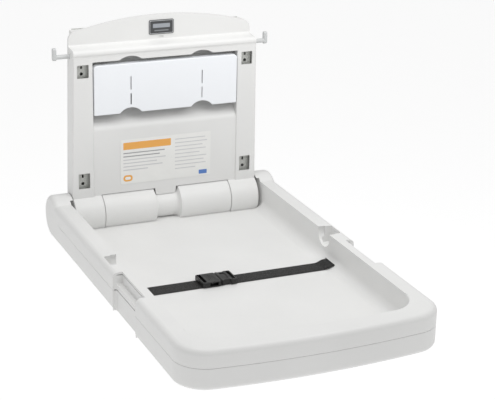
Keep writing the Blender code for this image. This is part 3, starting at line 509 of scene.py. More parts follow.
# %% The neck between the two drums
def turned(name, corners, sides=96):
    """A shape turned round the hinge axis, from a closed profile of (x, radius, rounding) corners."""
    bpy.ops.object.select_all(action="DESELECT")
    bpy.ops.mesh.primitive_circle_add(vertices=len(corners), fill_type="NOTHING")
    piece = settled(name)
    for vertex, (x, radius, _) in zip(piece.data.vertices, corners):
        vertex.co = (x, 0, radius)
    only(piece)
    bpy.ops.object.mode_set(mode="EDIT")
    bpy.ops.mesh.select_mode(type="VERT")
    for rounding in sorted({corner[2] for corner in corners if corner[2]}):
        bpy.ops.mesh.select_all(action="DESELECT")
        grid = bmesh.from_edit_mesh(piece.data)
        for vertex in grid.verts:
            vertex.select_set(any(near(vertex.co.x, x) and near(vertex.co.z, radius)
                                  for x, radius, its in corners if its == rounding))
        bmesh.update_edit_mesh(piece.data)
        bpy.ops.mesh.bevel(offset=rounding, segments=6, affect="VERTICES")
    bpy.ops.mesh.select_all(action="SELECT")
    bpy.ops.mesh.spin(steps=sides, angle=2 * math.pi, center=(0, 0, 0), axis=(1, 0, 0))
    bpy.ops.mesh.select_all(action="SELECT")
    bpy.ops.mesh.remove_doubles(threshold=0.01 * MM)
    bpy.ops.mesh.normals_make_consistent(inside=False)
    bpy.ops.transform.translate(value=(0, AXIS_Y, 0))
    bpy.ops.object.mode_set(mode="OBJECT")
    return piece


neck_channel = turned("neck_channel", neck_profile)
floor_guard = block("floor_guard", (-BARREL_HALF, FRONT, BOTTOM - WALL), (BARREL_HALF, AXIS_Y, BASIN_FLOOR))
cut(neck_channel, floor_guard)
cut(upper, neck_channel)
for side, name in ((-1, "left"), (1, "right")):
    x_low, x_high = span(side, BARREL_HALF - 10 * MM, ROD_HALF + WALL)
    cut(upper, roller(f"bush_bore_{name}", BUSH_R, x_low, x_high, AXIS_Y, 0, 48))
cut(upper, roller("rod_bore", 9 * MM, -BARREL_HALF, BARREL_HALF, AXIS_Y, 0, 48))

# %% Upper shell: grooves, wells, grips and the slots for the strap
for side, name in ((-1, "left"), (1, "right")):
    x_low, x_high = span(side, BASIN_HALF - 8 * MM, 292 * MM)
    groove = roller(f"groove_{name}", 33 * MM, x_low, x_high, GROOVE_Y, RIM - 9 * MM, 96)
    x_low, x_high = span(side, 282 * MM, 309 * MM)
    well = block(f"well_{name}", (x_low, GROOVE_Y - 29 * MM, WELL_FLOOR),
                 (x_high, GROOVE_Y + 28 * MM, RIM + WALL))
    soften(well, 5 * MM, lambda a, b: abs(a.z - b.z) > MM, 5)
    x_low, x_high = span(side, 256 * MM, 284 * MM)
    slot_low, slot_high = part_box(f"strap_{name}")
    slot = block(f"strap_slot_{name}", (x_low, slot_low.y - 2 * MM, slot_high.z - 3.7 * MM),
                 (x_high, slot_high.y + 2 * MM, slot_high.z + 2.3 * MM))
    cut(upper, groove, well, slot)
cut(upper, *grips, *fingers)
screw_places = []
for number in range(1, 7):
    low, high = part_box(f"shell_screw_{number}")
    x, y = (low.x + high.x) / 2, (low.y + high.y) / 2
    screw_places.append((x, y))
    boss = peg(f"boss_{number}", 7 * MM, (x, y, BOTTOM + WALL + 0.3 * MM), (x, y, BASIN_FLOOR - WALL / 2))
    join(upper, boss)
    cut(upper, peg(f"pilot_{number}", 2.2 * MM, (x, y, BOTTOM), (x, y, BASIN_FLOOR - WALL - MM)))
clean(upper)
soften(upper, 2.2 * MM, lambda a, b: min(a.z, b.z) > RIM - 4 * MM
       and min(abs(a.x), abs(b.x)) > BASIN_HALF - MM and max(abs(a.x), abs(b.x)) < HALF - 3 * MM
       and GRIP_FAR - MM < min(a.y, b.y) and max(a.y, b.y) < GROOVE_Y + 45 * MM, 3, 50, True)
print("upper shell:", len(upper.data.polygons), "faces")

hand_over(upper, grey_plastic, "bed", ["bed_upper_shell"])

# %% [markdown]
# ## The bed: lower shell
# The lower shell is a shallow pan that closes the bed from below. Its edge meets the upper shell in a narrow
# groove, which is how two mouldings always show that they are two. The groove is real: both rims have a
# small rounding. Six screws hold the pan, sunk into its bottom.

# %% Lower shell
lower = tray("lower_shell", HALF, FRONT, REAR, BOTTOM, SEAM - 0.3 * MM, BOW, CORNER)
soften(lower, 12 * MM, lambda a, b: near(a.z, BOTTOM) and near(b.z, BOTTOM) and not (
    near(a.y, REAR) and near(b.y, REAR)), 7, 60)
soften(lower, 1.0 * MM, lambda a, b: near(a.z, SEAM - 0.3 * MM) and near(b.z, a.z), 2, 60)
pan = tray("pan", HALF - WALL, FRONT + WALL, HUB_FRONT, BOTTOM + WALL, RIM, BOW, CORNER - WALL)
soften(pan, 8 * MM, both(lambda p: near(p.z, BOTTOM + WALL)), 4, 60)
cut(lower, pan)
for side, name in ((-1, "left"), (1, "right")):
    x_low, x_high = span(side, HALF - FINGER_DEEP - WALL, HALF - MM)
    join(lower, block("finger_skin", (x_low, GRIP_FAR - WALL, BOTTOM + MM),
                      (x_high, GRIP_NEAR + WALL, SEAM - 1.3 * MM)))
    x_low, x_high = span(side, HALF - FINGER_DEEP, HALF + 2 * FINGER_DEEP)
    finger = block(f"finger_{name}", (x_low, GRIP_FAR, BOTTOM - WALL), (x_high, GRIP_NEAR, RIM + WALL))
    soften(finger, 5 * MM, lambda a, b: near(abs(a.x), HALF - FINGER_DEEP) and near(abs(b.x), abs(a.x))
           and abs(a.z - b.z) > MM, 5)
    cut(lower, finger)
cut(lower, block("lip_room", (-BARREL_HALF - 0.3 * MM, HUB_FRONT - 0.3 * MM, BOTTOM - WALL),
                 (BARREL_HALF + 0.3 * MM, AXIS_Y, BASIN_FLOOR)))
cut(lower, block("skin_room", (-BASIN_HALF - WALL - 0.3 * MM, REAR - 2 * WALL, BASIN_FLOOR - WALL - 0.3 * MM),
                 (BASIN_HALF + WALL + 0.3 * MM, AXIS_Y, RIM)))
for number, (x, y) in enumerate(screw_places, 1):
    cut(lower, peg(f"through_{number}", 2.4 * MM, (x, y, BOTTOM - MM), (x, y, BOTTOM + 2 * WALL)))
    cut(lower, peg(f"sink_{number}", 5 * MM, (x, y, BOTTOM - MM), (x, y, BOTTOM + 2 * MM)))
clean(lower)
soften(lower, 1.5 * MM, lambda a, b: near(a.z, BOTTOM) and near(b.z, BOTTOM)
       and abs(a.x) > HALF - 30 * MM, 2, 35)
hand_over(lower, grey_plastic, "bed", ["bed_lower_shell"])

# %% [markdown]
# ## The wall housing
# The housing is one tall moulding: two columns with round feet that hold the hinge, a recess between them
# for the paper liners, a sloping panel under it, a ledge above and a low arched crown. It is built like the
# mould sees it, as one front outline extruded backwards, then cut by side profiles that run across its whole
# width. Because a profile carries its own rounding, the ledge and the ramp get their soft edges for free.

# %% Housing: the front outline and the side profiles
house_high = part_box("wall_housing")[1]
FOOT_HALF, TOP_HALF = house_high.x, 257 * MM
CROWN_Z, SIDE_Z, FOOT_Z = house_high.z, 490 * MM, 50 * MM
FRONT_Y, LEDGE_Y, BACK_Y, CROWN_Y = -85 * MM, -88 * MM, -34 * MM, -42 * MM
LEDGE_LOW, LEDGE_TOP = 438 * MM, 454 * MM
INNER_HALF, RECESS_Y, RECESS_TOP = 205 * MM, -40 * MM, 421 * MM
PANEL_Y, PANEL_TOP, RAMP_TOP = -82 * MM, 238 * MM, 274 * MM
crown = [(x / 12 * TOP_HALF, CROWN_Z - (CROWN_Z - SIDE_Z) * (x / 12) ** 2) for x in range(12, -13, -1)]
outline = [(FOOT_HALF, FOOT_Z, 0), *[(x, z, 16 * MM if abs(x) > TOP_HALF - MM else 0) for x, z in crown],
           (-FOOT_HALF, FOOT_Z, 0)]
housing = profile("housing", outline, "Y", LEDGE_Y, BACK_Y, 8)
wide = FOOT_HALF + WALL
ledge = [(LEDGE_Y - WALL, FOOT_Z - 2 * WALL, 0), (FRONT_Y, FOOT_Z - 2 * WALL, 0),
         (FRONT_Y, LEDGE_LOW, 2 * MM), (LEDGE_Y, LEDGE_LOW + 3 * MM, 2 * MM), (LEDGE_Y, LEDGE_TOP, 9 * MM),
         (CROWN_Y, LEDGE_TOP + 3 * MM, 5 * MM), (CROWN_Y, CROWN_Z + WALL, 0),
         (LEDGE_Y - WALL, CROWN_Z + WALL, 0)]
cut(housing, profile("front_profile", ledge, "X", -wide, wide, 7))
print("housing front outline with", len(outline), "corners")

# %% Housing: the recess, its soft vertical edges and the finger notches
recess = [(LEDGE_Y - WALL, FOOT_Z - 2 * WALL, 0), (PANEL_Y, FOOT_Z - 2 * WALL, 0),
          (PANEL_Y, PANEL_TOP, 7 * MM), (RECESS_Y - 14 * MM, RAMP_TOP - 8 * MM, 12 * MM),
          (RECESS_Y, RAMP_TOP + 6 * MM, 8 * MM), (RECESS_Y, RECESS_TOP, 0), (LEDGE_Y - WALL, RECESS_TOP, 0)]
cut(housing, profile("recess", recess, "X", -INNER_HALF, INNER_HALF, 8))
NOTCH_WIDE, NOTCH_RISE, SLOT_X = 62 * MM, 10 * MM, 101 * MM
notch_r = (NOTCH_WIDE ** 2 / 4 + NOTCH_RISE ** 2) / (2 * NOTCH_RISE)
for side, name in ((-1, "left"), (1, "right")):
    middle = RECESS_TOP + NOTCH_RISE - notch_r
    cut(housing, peg(f"lip_notch_{name}", notch_r, (side * SLOT_X, LEDGE_Y - WALL, middle),
                     (side * SLOT_X, RECESS_Y, middle), 128))
print("housing:", len(housing.data.polygons), "faces")

# %% Housing: the skirt behind, the hollows and the four fixing pockets
SKIRT_HALF, SKIRT_LOW, SKIRT_TOP, SKIRT_BACK = 243 * MM, 62 * MM, 492 * MM, -3.3 * MM
HOLLOW_LOW, HOLLOW_TOP, COLUMN_INSIDE, LEDGE_INSIDE = 66 * MM, 488 * MM, 252 * MM, 238 * MM
POCKET_X, POCKET_HALF = 232 * MM, 16 * MM
join(housing, block("skirt", (-SKIRT_HALF, BACK_Y - MM, SKIRT_LOW), (SKIRT_HALF, SKIRT_BACK, SKIRT_TOP)))
inside = INNER_HALF + WALL
pockets = []
for side, name in ((-1, "left"), (1, "right")):
    x_low, x_high = span(side, inside, COLUMN_INSIDE)
    cut(housing, block(f"column_hollow_{name}", (x_low, FRONT_Y + WALL, SKIRT_LOW),
                       (x_high, BACK_Y - WALL, LEDGE_LOW)))
    x_low, x_high = span(side, inside, SKIRT_HALF - WALL)
    cut(housing, block(f"skirt_hollow_{name}", (x_low, BACK_Y - WALL - MM, HOLLOW_LOW),
                       (x_high, MM, HOLLOW_TOP)))
    for level, (z, high) in (("upper", (398 * MM, 36 * MM)), ("lower", (97 * MM, 43 * MM))):
        pocket = block(f"pocket_{level}_{name}",
                       (side * POCKET_X - POCKET_HALF, LEDGE_Y - WALL, z - high / 2),
                       (side * POCKET_X + POCKET_HALF, FRONT_Y + 2 * WALL, z + high / 2))
        soften(pocket, 2.5 * MM, lambda a, b: abs(a.y - b.y) > MM, 4)
        cut(housing, pocket)
panel_hollow = profile("panel_hollow", [
    (MM, HOLLOW_LOW, 0), (PANEL_Y + WALL, HOLLOW_LOW, 0), (PANEL_Y + WALL, PANEL_TOP - 6 * MM, 0),
    (BACK_Y - 10 * MM, RAMP_TOP - 12 * MM, 0), (BACK_Y - 2 * MM, RAMP_TOP, 0), (MM, RAMP_TOP, 0)],
    "X", -INNER_HALF + WALL, INNER_HALF - WALL)
cut(housing, panel_hollow, block("bin_hollow", (-INNER_HALF + WALL, BACK_Y - 2 * MM, 200 * MM),
                                 (INNER_HALF - WALL, MM, HOLLOW_TOP)))
cut(housing, block("ledge_hollow", (-LEDGE_INSIDE, LEDGE_Y + 2 * WALL, LEDGE_LOW + WALL + MM),
                   (LEDGE_INSIDE, BACK_Y, LEDGE_TOP - WALL)))
print("housing hollow behind its 4 mm walls")

# %% Housing: knuckles, the tab between the drums and the small holes
KNUCKLE_NEAR, KNUCKLE_R, KNUCKLE_WALL = 183.5 * MM, 55 * MM, 6 * MM
HOOK_Y, HOOK_Z, PIN_Y, PIN_Z, PIN_HOLE_R = -52 * MM, 434 * MM, -79 * MM, 283 * MM, 2.8 * MM
cut(housing, roller("barrel_room", BARREL_R + 2.5 * MM, -KNUCKLE_NEAR, KNUCKLE_NEAR, AXIS_Y, 0, 128))
for side, name in ((-1, "left"), (1, "right")):
    x_low, x_high = span(side, KNUCKLE_NEAR, FOOT_HALF)
    knuckle = roller(f"knuckle_{name}", KNUCKLE_R, x_low, x_high, AXIS_Y, 0, 128)
    soften(knuckle, 2.5 * MM, lambda a, b: near(a.x, b.x), 4, 60)
    join(housing, knuckle)
    x_low, x_high = span(side, KNUCKLE_NEAR + KNUCKLE_WALL, FOOT_HALF - KNUCKLE_WALL)
    cut(housing, roller(f"knuckle_hollow_{name}", 49 * MM, x_low, x_high, AXIS_Y, 0, 64))
    cut(housing, block(f"knuckle_back_{name}", (x_low, AXIS_Y + 30 * MM, -26 * MM), (x_high, 0, 26 * MM)))
cut(housing, roller("rod_hole", 8.3 * MM, -FOOT_HALF - MM, FOOT_HALF + MM, AXIS_Y, 0, 48))
TAB_TOP_HALF, TAB_LOW_HALF, TAB_TOP, TAB_LOW = 32 * MM, 28 * MM, FOOT_Z + 16 * MM, 34 * MM
tab = profile("tab", [(-TAB_TOP_HALF, TAB_TOP, 0), (-TAB_LOW_HALF, TAB_LOW, 5 * MM),
                      (TAB_LOW_HALF, TAB_LOW, 5 * MM), (TAB_TOP_HALF, TAB_TOP, 0)],
              "Y", PANEL_Y + 0.1 * MM, PANEL_Y + WALL + 0.2 * MM, 6)
join(housing, tab)
cut(housing, block("crown_slot", (-6 * MM, CROWN_Y - WALL, 463 * MM), (6 * MM, CROWN_Y + 3 * MM, 468 * MM)))
for side, name in ((-1, "left"), (1, "right")):
    x_low, x_high = span(side, TOP_HALF - 14 * MM, FOOT_HALF + MM)
    cut(housing, roller(f"hook_socket_{name}", 6.3 * MM, x_low, x_high, HOOK_Y, HOOK_Z, 32))
    x_low, x_high = span(side, INNER_HALF - MM, INNER_HALF + 5 * MM)
    cut(housing, roller(f"pin_socket_{name}", PIN_HOLE_R, x_low, x_high, PIN_Y, PIN_Z, 20))
clean(housing)
soften(housing, 3.5 * MM, lambda a, b: near(abs(a.x), INNER_HALF) and near(abs(b.x), INNER_HALF)
       and near(a.y, FRONT_Y) and near(b.y, FRONT_Y), 5)
soften(housing, 3 * MM, lambda a, b: near(a.y, FRONT_Y) and near(b.y, FRONT_Y)
       and min(abs(a.x), abs(b.x)) > TOP_HALF - 2 * MM and max(a.z, b.z) < LEDGE_LOW, 4)
hand_over(housing, grey_plastic, "wall_unit", ["wall_housing"])

# %% [markdown]
# ## The tilting cover
# The cover of the paper liners is a thin white tray that tilts forward on two pins. Its front is nearly
# flat with soft edges, two shallow arches cut its lower edge, and narrow slots show how many liners are
# left. A thin tray is what makes it look light beside the grey housing, so its wall is a real 3 mm.

# %% Cover
door_low, door_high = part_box("dispenser_door")
DOOR_HALF, DOOR_Y, DOOR_BACK = door_high.x, door_low.y, door_high.y
door = profile("cover_door", [(-DOOR_HALF, door_low.z, 3 * MM), (DOOR_HALF, door_low.z, 3 * MM),
                              (DOOR_HALF, door_high.z, 10 * MM), (-DOOR_HALF, door_high.z, 10 * MM)],
               "Y", DOOR_Y, DOOR_BACK, 8)
soften(door, 2.4 * MM, lambda a, b: near(a.y, DOOR_Y) and near(b.y, DOOR_Y), 5)
door_hollow = profile("door_hollow", [
    (-DOOR_HALF + 3 * MM, door_low.z - MM, 0), (DOOR_HALF - 3 * MM, door_low.z - MM, 0),
    (DOOR_HALF - 3 * MM, door_high.z - 3 * MM, 8 * MM), (-DOOR_HALF + 3 * MM, door_high.z - 3 * MM, 8 * MM)],
    "Y", DOOR_Y + 3 * MM, DOOR_BACK + MM, 6)
cut(door, door_hollow)
arch_rise = 15 * MM
arch_r = (NOTCH_WIDE ** 2 / 4 + arch_rise ** 2) / (2 * arch_rise)
for side, name in ((-1, "left"), (1, "right")):
    x = side * SLOT_X
    middle = door_low.z + arch_rise - arch_r
    cut(door, peg(f"door_arch_{name}", arch_r, (x, DOOR_Y - MM, middle), (x, DOOR_Y + 6 * MM, middle), 128))
    for number, (low, high) in enumerate(((35 * MM, 72 * MM), (81 * MM, 112 * MM)), 1):
        slot = block(f"door_slot_{number}_{name}", (x - 1.5 * MM, DOOR_Y - MM, door_high.z - high),
                     (x + 1.5 * MM, DOOR_Y + 6 * MM, door_high.z - low))
        soften(slot, 1.4 * MM, lambda a, b: abs(a.y - b.y) > MM, 3)
        cut(door, slot)
    x_low, x_high = span(side, DOOR_HALF - 7 * MM, INNER_HALF + 5 * MM)
    cut(door, roller(f"pin_bore_{name}", PIN_HOLE_R, x_low, x_high, PIN_Y, PIN_Z, 20))
clean(door)
soften(door, 0.8 * MM, lambda a, b: near(a.y, DOOR_Y) and near(b.y, DOOR_Y) and max(a.z, b.z) < door_low.z
       + arch_rise + MM, 2, 60)
hand_over(door, cover_plastic, "cover", ["dispenser_door"])

# %% [markdown]
# ## Bag hooks
# A short round arm comes out of each side of the housing and ends in an upright pad, so a bag's strap can't
# slide off. When the bed is folded up, the pads sit in wells in its rim. The pad is a flat plate with round
# corners and soft edges, joined to the arm.

# %% Bag hooks
ARM_R, PAD_THICK, PAD_ROUND = 6 * MM, 10 * MM, 5.9 * MM
for side, name in ((-1, "left"), (1, "right")):
    low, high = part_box(f"bag_hook_{name}")
    outer = high.x if side > 0 else low.x
    pad_inner = outer - side * PAD_THICK
    middle_y = (low.y + high.y) / 2
    x_low, x_high = sorted((side * (TOP_HALF - 12 * MM), outer - side * 5 * MM))
    hook = roller(f"hook_{name}", ARM_R, x_low, x_high, middle_y, HOOK_Z, 64)
    pad_low, pad_high = sorted((pad_inner, outer))
    pad = profile(f"pad_{name}", [(low.y, low.z, PAD_ROUND), (high.y, low.z, PAD_ROUND),
                                  (high.y, high.z, PAD_ROUND), (low.y, high.z, PAD_ROUND)],
                  "X", pad_low, pad_high, 8)
    soften(pad, 2.5 * MM, lambda a, b: near(a.x, b.x) and near(abs(a.x), abs(outer)), 5)
    soften(pad, 1.2 * MM, lambda a, b: near(a.x, b.x) and near(abs(a.x), abs(pad_inner)), 3)
    join(hook, pad)
    clean(hook)
    hand_over(hook, hook_plastic, "wall_unit", [f"bag_hook_{name}"])

# %% [markdown]
# ## Strap webbing
# The strap is flat nylon webbing, woven over and under in fine ribs across its length. It comes through a
# slot in each side of the basin, bends down the rounded corner and lies on the floor. Cloth simulation would
# only flatten it, so it is a straight strip that follows its route, about as thick as the real tape. Its two
# edges are thinner than its middle, and the weave itself is drawn by the finish.

# %% Strap webbing
WEBBING_THICK = 1.3 * MM
INNER_END, FLOOR_END, SLOT_START, SLOT_END = -60 * MM, 238 * MM, 262 * MM, 300 * MM


def strap_height(x, route):
    """Height of the middle of the webbing at a distance from the centre line."""
    for (near_end, low), (far_end, high) in zip(route, route[1:]):
        if near_end <= x <= far_end:
            share = (x - near_end) / (far_end - near_end)
            smooth = share * share * (3 - 2 * share)
            return low + (high - low) * smooth
    return route[-1][1]


def strap_strip(name, side):
    """A strip of webbing along X, thinner at its two edges."""
    low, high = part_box(name)
    thick = WEBBING_THICK
    rest, top = low.z + thick / 2 + 0.02 * MM, high.z - thick / 2 - 0.02 * MM
    route = [(INNER_END, rest), (FLOOR_END, rest), (SLOT_START, top), (SLOT_END, top)]
    rows, along, columns = [], 150, 16
    build = bmesh.new()
    for step in range(along + 1):
        x = low.x + (high.x - low.x) * step / along
        ring = []
        for layer in (1, -1):
            order = range(columns + 1) if layer > 0 else range(columns, -1, -1)
            for column in order:
                share = column / columns * 2 - 1
                edge = max(0.0, (abs(share) - 0.88) / 0.12)
                half = thick / 2 * math.sqrt(max(0.05, 1 - 0.9 * edge * edge))
                z = strap_height(side * x, route) + layer * half
                y = (low.y + high.y) / 2 + share * (high.y - low.y) / 2
                ring.append(build.verts.new((x, y, min(max(z, low.z), high.z))))
        rows.append(ring)
    for first, second in zip(rows, rows[1:]):
        for index in range(len(first)):
            after = (index + 1) % len(first)
            build.faces.new((first[index], first[after], second[after], second[index]))
    build.faces.new(rows[0])
    build.faces.new(list(reversed(rows[-1])))
    bmesh.ops.recalc_face_normals(build, faces=build.faces)
    mesh = bpy.data.meshes.new(name + "_webbing")
    build.to_mesh(mesh)
    build.free()
    piece = bpy.data.objects.new(name + "_webbing", mesh)
    bpy.context.scene.collection.objects.link(piece)
    return piece


# %% Webbing finish and the two straps
def woven(name):
    """Black webbing: ribs along X, each broken into short stitches, with a slight sheen."""
    made, tree, shader = new_finish(name, (0.02, 0.02, 0.022), 0.72)
    place = tree.nodes.new("ShaderNodeTexCoord")
    ribs = tree.nodes.new("ShaderNodeTexWave")
    ribs.bands_direction = "Y"
    ribs.inputs["Scale"].default_value = 260
    ribs.inputs["Distortion"].default_value = 0.3
    picks = tree.nodes.new("ShaderNodeTexWave")
    picks.bands_direction = "X"
    picks.inputs["Scale"].default_value = 330
    picks.inputs["Distortion"].default_value = 0.4
    for wave in (ribs, picks):
        tree.links.new(place.outputs["Object"], wave.inputs["Vector"])
    weave = tree.nodes.new("ShaderNodeMath")
    weave.operation = "MULTIPLY"
    tree.links.new(ribs.outputs["Fac"], weave.inputs[0])
    tree.links.new(picks.outputs["Fac"], weave.inputs[1])
    tree.links.new(blend_colours(tree, weave.outputs[0], (0.003, 0.003, 0.003), (0.014, 0.013, 0.012)),
                   shader.inputs["Base Color"])
    shader.inputs["Sheen Weight"].default_value = 0.12
    shader.inputs["Sheen Roughness"].default_value = 0.4
    bump(tree, shader, weave.outputs[0], 0.8, 0.0004)
    return made


webbing_finish = woven("woven_webbing")
for side, name in ((-1, "strap_left"), (1, "strap_right")):
    hand_over(strap_strip(name, side), webbing_finish, "bed", [name], 60)

# %% [markdown]
# ## The buckle
# The two halves of a side-release buckle are small injection mouldings. The socket is a flat sleeve, open at
# its end and at both sides, where the fingers reach the prongs. The plug is a short bar with a tongue. Both
# have soft top edges. Shallow lines cut into the socket and a notch in each side of the plug give a grip, and
# they make such a small black thing readable.

# %% Buckle socket
buckle_low, buckle_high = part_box("buckle_socket")
socket = block("socket", buckle_low, buckle_high)
soften(socket, 5 * MM, lambda a, b: abs(a.z - b.z) > MM, 6)
soften(socket, 2.6 * MM, lambda a, b: near(a.z, buckle_high.z) and near(b.z, buckle_high.z), 5)
soften(socket, 0.8 * MM, lambda a, b: near(a.z, buckle_low.z) and near(b.z, buckle_low.z), 2)
inner_low, inner_high = buckle_low.z + 2.5 * MM, buckle_high.z - 2.5 * MM
cut(socket, block("socket_room", (buckle_low.x + 16 * MM, buckle_low.y + 4.4 * MM, inner_low),
                  (buckle_high.x + MM, buckle_high.y - 4.4 * MM, inner_high)))
windows = block("windows", (buckle_high.x - 31 * MM, buckle_low.y - MM, inner_low),
                (buckle_high.x - 9 * MM, buckle_high.y + MM, inner_high))
thread = block("thread", (buckle_low.x + 4 * MM, buckle_low.y + 4 * MM, buckle_low.z - MM),
               (buckle_low.x + 12 * MM, buckle_high.y - 4 * MM, buckle_high.z + MM))
soften(thread, 1.5 * MM, lambda a, b: abs(a.z - b.z) > MM, 4)
cut(socket, windows, thread)
for number in range(4):
    x = buckle_high.x - 28 * MM + number * 5 * MM
    cut(socket, block(f"grip_line_{number}", (x, buckle_low.y + 14 * MM, buckle_high.z - 0.5 * MM),
                      (x + 1.6 * MM, buckle_high.y - 14 * MM, buckle_high.z + MM)))
clean(socket)
hand_over(socket, black_plastic, "bed", ["buckle_socket"], 35)

# %% Buckle plug
plug_low, plug_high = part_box("buckle_plug")
plug_face = buckle_high.x + 0.6 * MM
plug = block("plug", (plug_face, plug_low.y, plug_low.z), plug_high)
soften(plug, 5 * MM, lambda a, b: abs(a.z - b.z) > MM, 6)
soften(plug, 2.6 * MM, lambda a, b: near(a.z, plug_high.z) and near(b.z, plug_high.z), 5)
soften(plug, 0.8 * MM, lambda a, b: near(a.z, plug_low.z) and near(b.z, plug_low.z), 2)
middle_y = (plug_low.y + plug_high.y) / 2
tongue = block("tongue", (plug_low.x, middle_y - 5 * MM, plug_low.z + 3.2 * MM),
               (plug_face + 5 * MM, middle_y + 5 * MM, plug_high.z - 3.2 * MM))
soften(tongue, 1.5 * MM, lambda a, b: near(a.x, plug_low.x) and near(b.x, plug_low.x), 4)
join(plug, tongue)
bar_slot = block("bar_slot", (plug_high.x - 13 * MM, plug_low.y + 6 * MM, plug_high.z - 5 * MM),
                 (plug_high.x - 5 * MM, plug_high.y - 6 * MM, plug_high.z + MM))
soften(bar_slot, 1.5 * MM, lambda a, b: abs(a.z - b.z) > MM, 4)
waist = block("waist", (plug_face + 9 * MM, plug_low.y + 12 * MM, plug_high.z - 1.2 * MM),
              (plug_face + 22 * MM, plug_high.y - 12 * MM, plug_high.z + MM))
soften(waist, 3 * MM, lambda a, b: abs(a.z - b.z) > MM, 5)
cut(plug, bar_slot, waist)
for side, edge in ((-1, plug_low.y), (1, plug_high.y)):
    y_low, y_high = sorted((edge - side * 5 * MM, edge + side * 9 * MM))
    notch = block("side_notch", (plug_face + 4 * MM, y_low, plug_low.z - MM),
                  (plug_face + 24 * MM, y_high, plug_high.z + MM))
    soften(notch, 4 * MM, lambda a, b: abs(a.z - b.z) > MM, 6)
    cut(plug, notch)
clean(plug)
hand_over(plug, black_plastic, "plug", ["buckle_plug"], 35)

# %% [markdown]
# ## Label and badge
# A printed label fills the panel below the cover and a small plate sits on the crown. Both carry only
# neutral marks: an amber bar, grey rows where text would be, and two plain shapes. They are drawn with shader
# nodes, as rectangles on Object coordinates, because a printed sheet has no depth of its own.

# %% Helpers for printed marks
def printed(name, ground, roughness, marks):
    """A flat print: each mark is (colour, x low, x high, z low, z high, corner radius) in metres."""
    made, tree, shader = new_finish(name, ground, roughness)
    place = tree.nodes.new("ShaderNodeTexCoord")
    split = tree.nodes.new("ShaderNodeSeparateXYZ")
    tree.links.new(place.outputs["Object"], split.inputs["Vector"])

    def maths(operation, first, second):
        node = tree.nodes.new("ShaderNodeMath")
        node.operation = operation
        for socket, value in zip(node.inputs, (first, second)):
            if isinstance(value, (int, float)):
                socket.default_value = value
            else:
                tree.links.new(value, socket)
        return node.outputs[0]

    current = blend_colours(tree, spread(tree, noise(tree, 30, 2), 0, 1, 0.3, 0.7), ground,
                            tuple(channel * 0.97 for channel in ground))
    for colour, x_low, x_high, z_low, z_high, corner in marks:
        gaps = []
        for axis, low, high in (("X", x_low, x_high), ("Z", z_low, z_high)):
            away = maths("ABSOLUTE", maths("SUBTRACT", split.outputs[axis], (low + high) / 2), 0)
            gaps.append(maths("MAXIMUM", maths("SUBTRACT", away, (high - low) / 2 - corner), 0))
        length = maths("SQRT", maths("ADD", maths("POWER", gaps[0], 2), maths("POWER", gaps[1], 2)), 0)
        inside = maths("LESS_THAN", length, max(corner, 0.00001))
        current = blend_colours(tree, inside, current, colour)
    tree.links.new(current, shader.inputs["Base Color"])
    bump(tree, shader, noise(tree, 700, 2), 0.2, 0.00003)
    return made


def mark(colour, x_low, x_high, z_low, z_high, corner=0.0):
    """One printed mark, given in millimetres."""
    return (colour, x_low * MM, x_high * MM, z_low * MM, z_high * MM, corner * MM)


def flat_plate(name, low, high, corner, segments):
    """A thin upright plate that fills a box, with round corners."""
    corners = [(low.x, low.z, corner), (high.x, low.z, corner),
               (high.x, high.z, corner), (low.x, high.z, corner)]
    return profile(name, corners, "Y", low.y, high.y, segments)


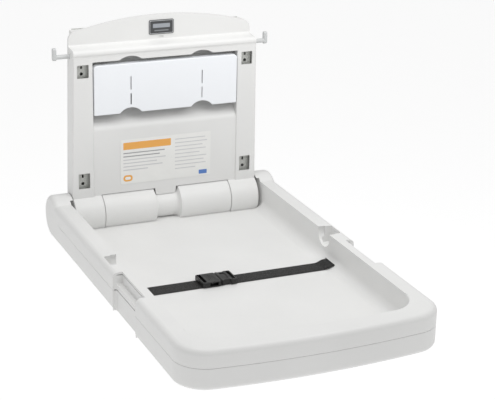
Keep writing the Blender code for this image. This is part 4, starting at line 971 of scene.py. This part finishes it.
# %% Label
AMBER, INK, PALE, BLUE = (0.85, 0.42, 0.10), (0.36, 0.36, 0.37), (0.62, 0.62, 0.63), (0.10, 0.22, 0.55)
label_low, label_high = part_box("instruction_label")
LEFT_START, RIGHT_START = -122, 26
label_marks = [mark(AMBER, LEFT_START, 14, 172, 192, 1.5)]
for row, length in enumerate((118, 104, 121, 96, 112, 70)):
    foot = 160.5 - 9.5 * row
    label_marks.append(mark(INK if row < 2 else PALE, LEFT_START, LEFT_START + length, foot, foot + 3))
for row, length in enumerate((88, 94, 80, 90, 72, 92, 84, 90, 60)):
    foot = 186 - 10.5 * row
    label_marks.append(mark(PALE, RIGHT_START, RIGHT_START + length, foot, foot + 2.5))
label_marks += [mark(AMBER, LEFT_START, -96, 82, 100, 8), mark((0.9, 0.9, 0.88), -117, -101, 87, 95, 4),
                mark(BLUE, 96, 120, 80, 92, 2)]
label_print = printed("label_sheet", (0.86, 0.86, 0.84), 0.38, label_marks)
label = flat_plate("label", label_low, label_high, 3 * MM, 5)
hand_over(label, label_print, "wall_unit", ["instruction_label"])

# %% Badge
badge_low, badge_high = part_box("badge")
EDGE, GROUND, LIGHT, DIM = (0.55, 0.56, 0.57), (0.055, 0.057, 0.06), (0.33, 0.35, 0.38), (0.22, 0.23, 0.24)
badge_marks = [mark(EDGE, -33.2, 33.2, 474.3, 509.7, 3), mark(GROUND, -32, 32, 475.5, 508.5, 2.6),
               mark(LIGHT, -24, 24, 490, 501, 2), mark(DIM, -20, 20, 481, 484, 0.5)]
badge_finish = printed("badge_plate", GROUND, 0.3, badge_marks)
badge = flat_plate("plate", badge_low, badge_high, 4 * MM, 6)
soften(badge, 0.5 * MM, lambda a, b: near(a.y, badge_low.y) and near(b.y, badge_low.y), 3)
hand_over(badge, badge_finish, "wall_unit", ["badge"])

# %% [markdown]
# ## Pieces kept from the frame
# The rod, bushes, screws, pins, steel uprights and the wall plate already have their true shapes, so they
# stay and only get a finish. Rolled zinc has its lines along the sheet, and turned steel has them round the
# axis of the bar.

# %% Finishes of the kept pieces
finishes = {"wall_plate": rolled_zinc, "upright": rolled_zinc, "hinge_rod": turned_steel, "bush": nylon,
            "shell_screw": turned_steel, "strap_anchor": rolled_zinc, "door_pin": turned_steel,
            "prong": black_plastic}
kept = 0
for name, node in frame["nodes"].items():
    match = [finish for start, finish in finishes.items() if name.startswith(start)]
    if match:
        node.data.materials.clear()
        node.data.materials.append(match[0])
        kept += 1
print("finishes on", kept, "kept pieces of", len(frame["nodes"]))
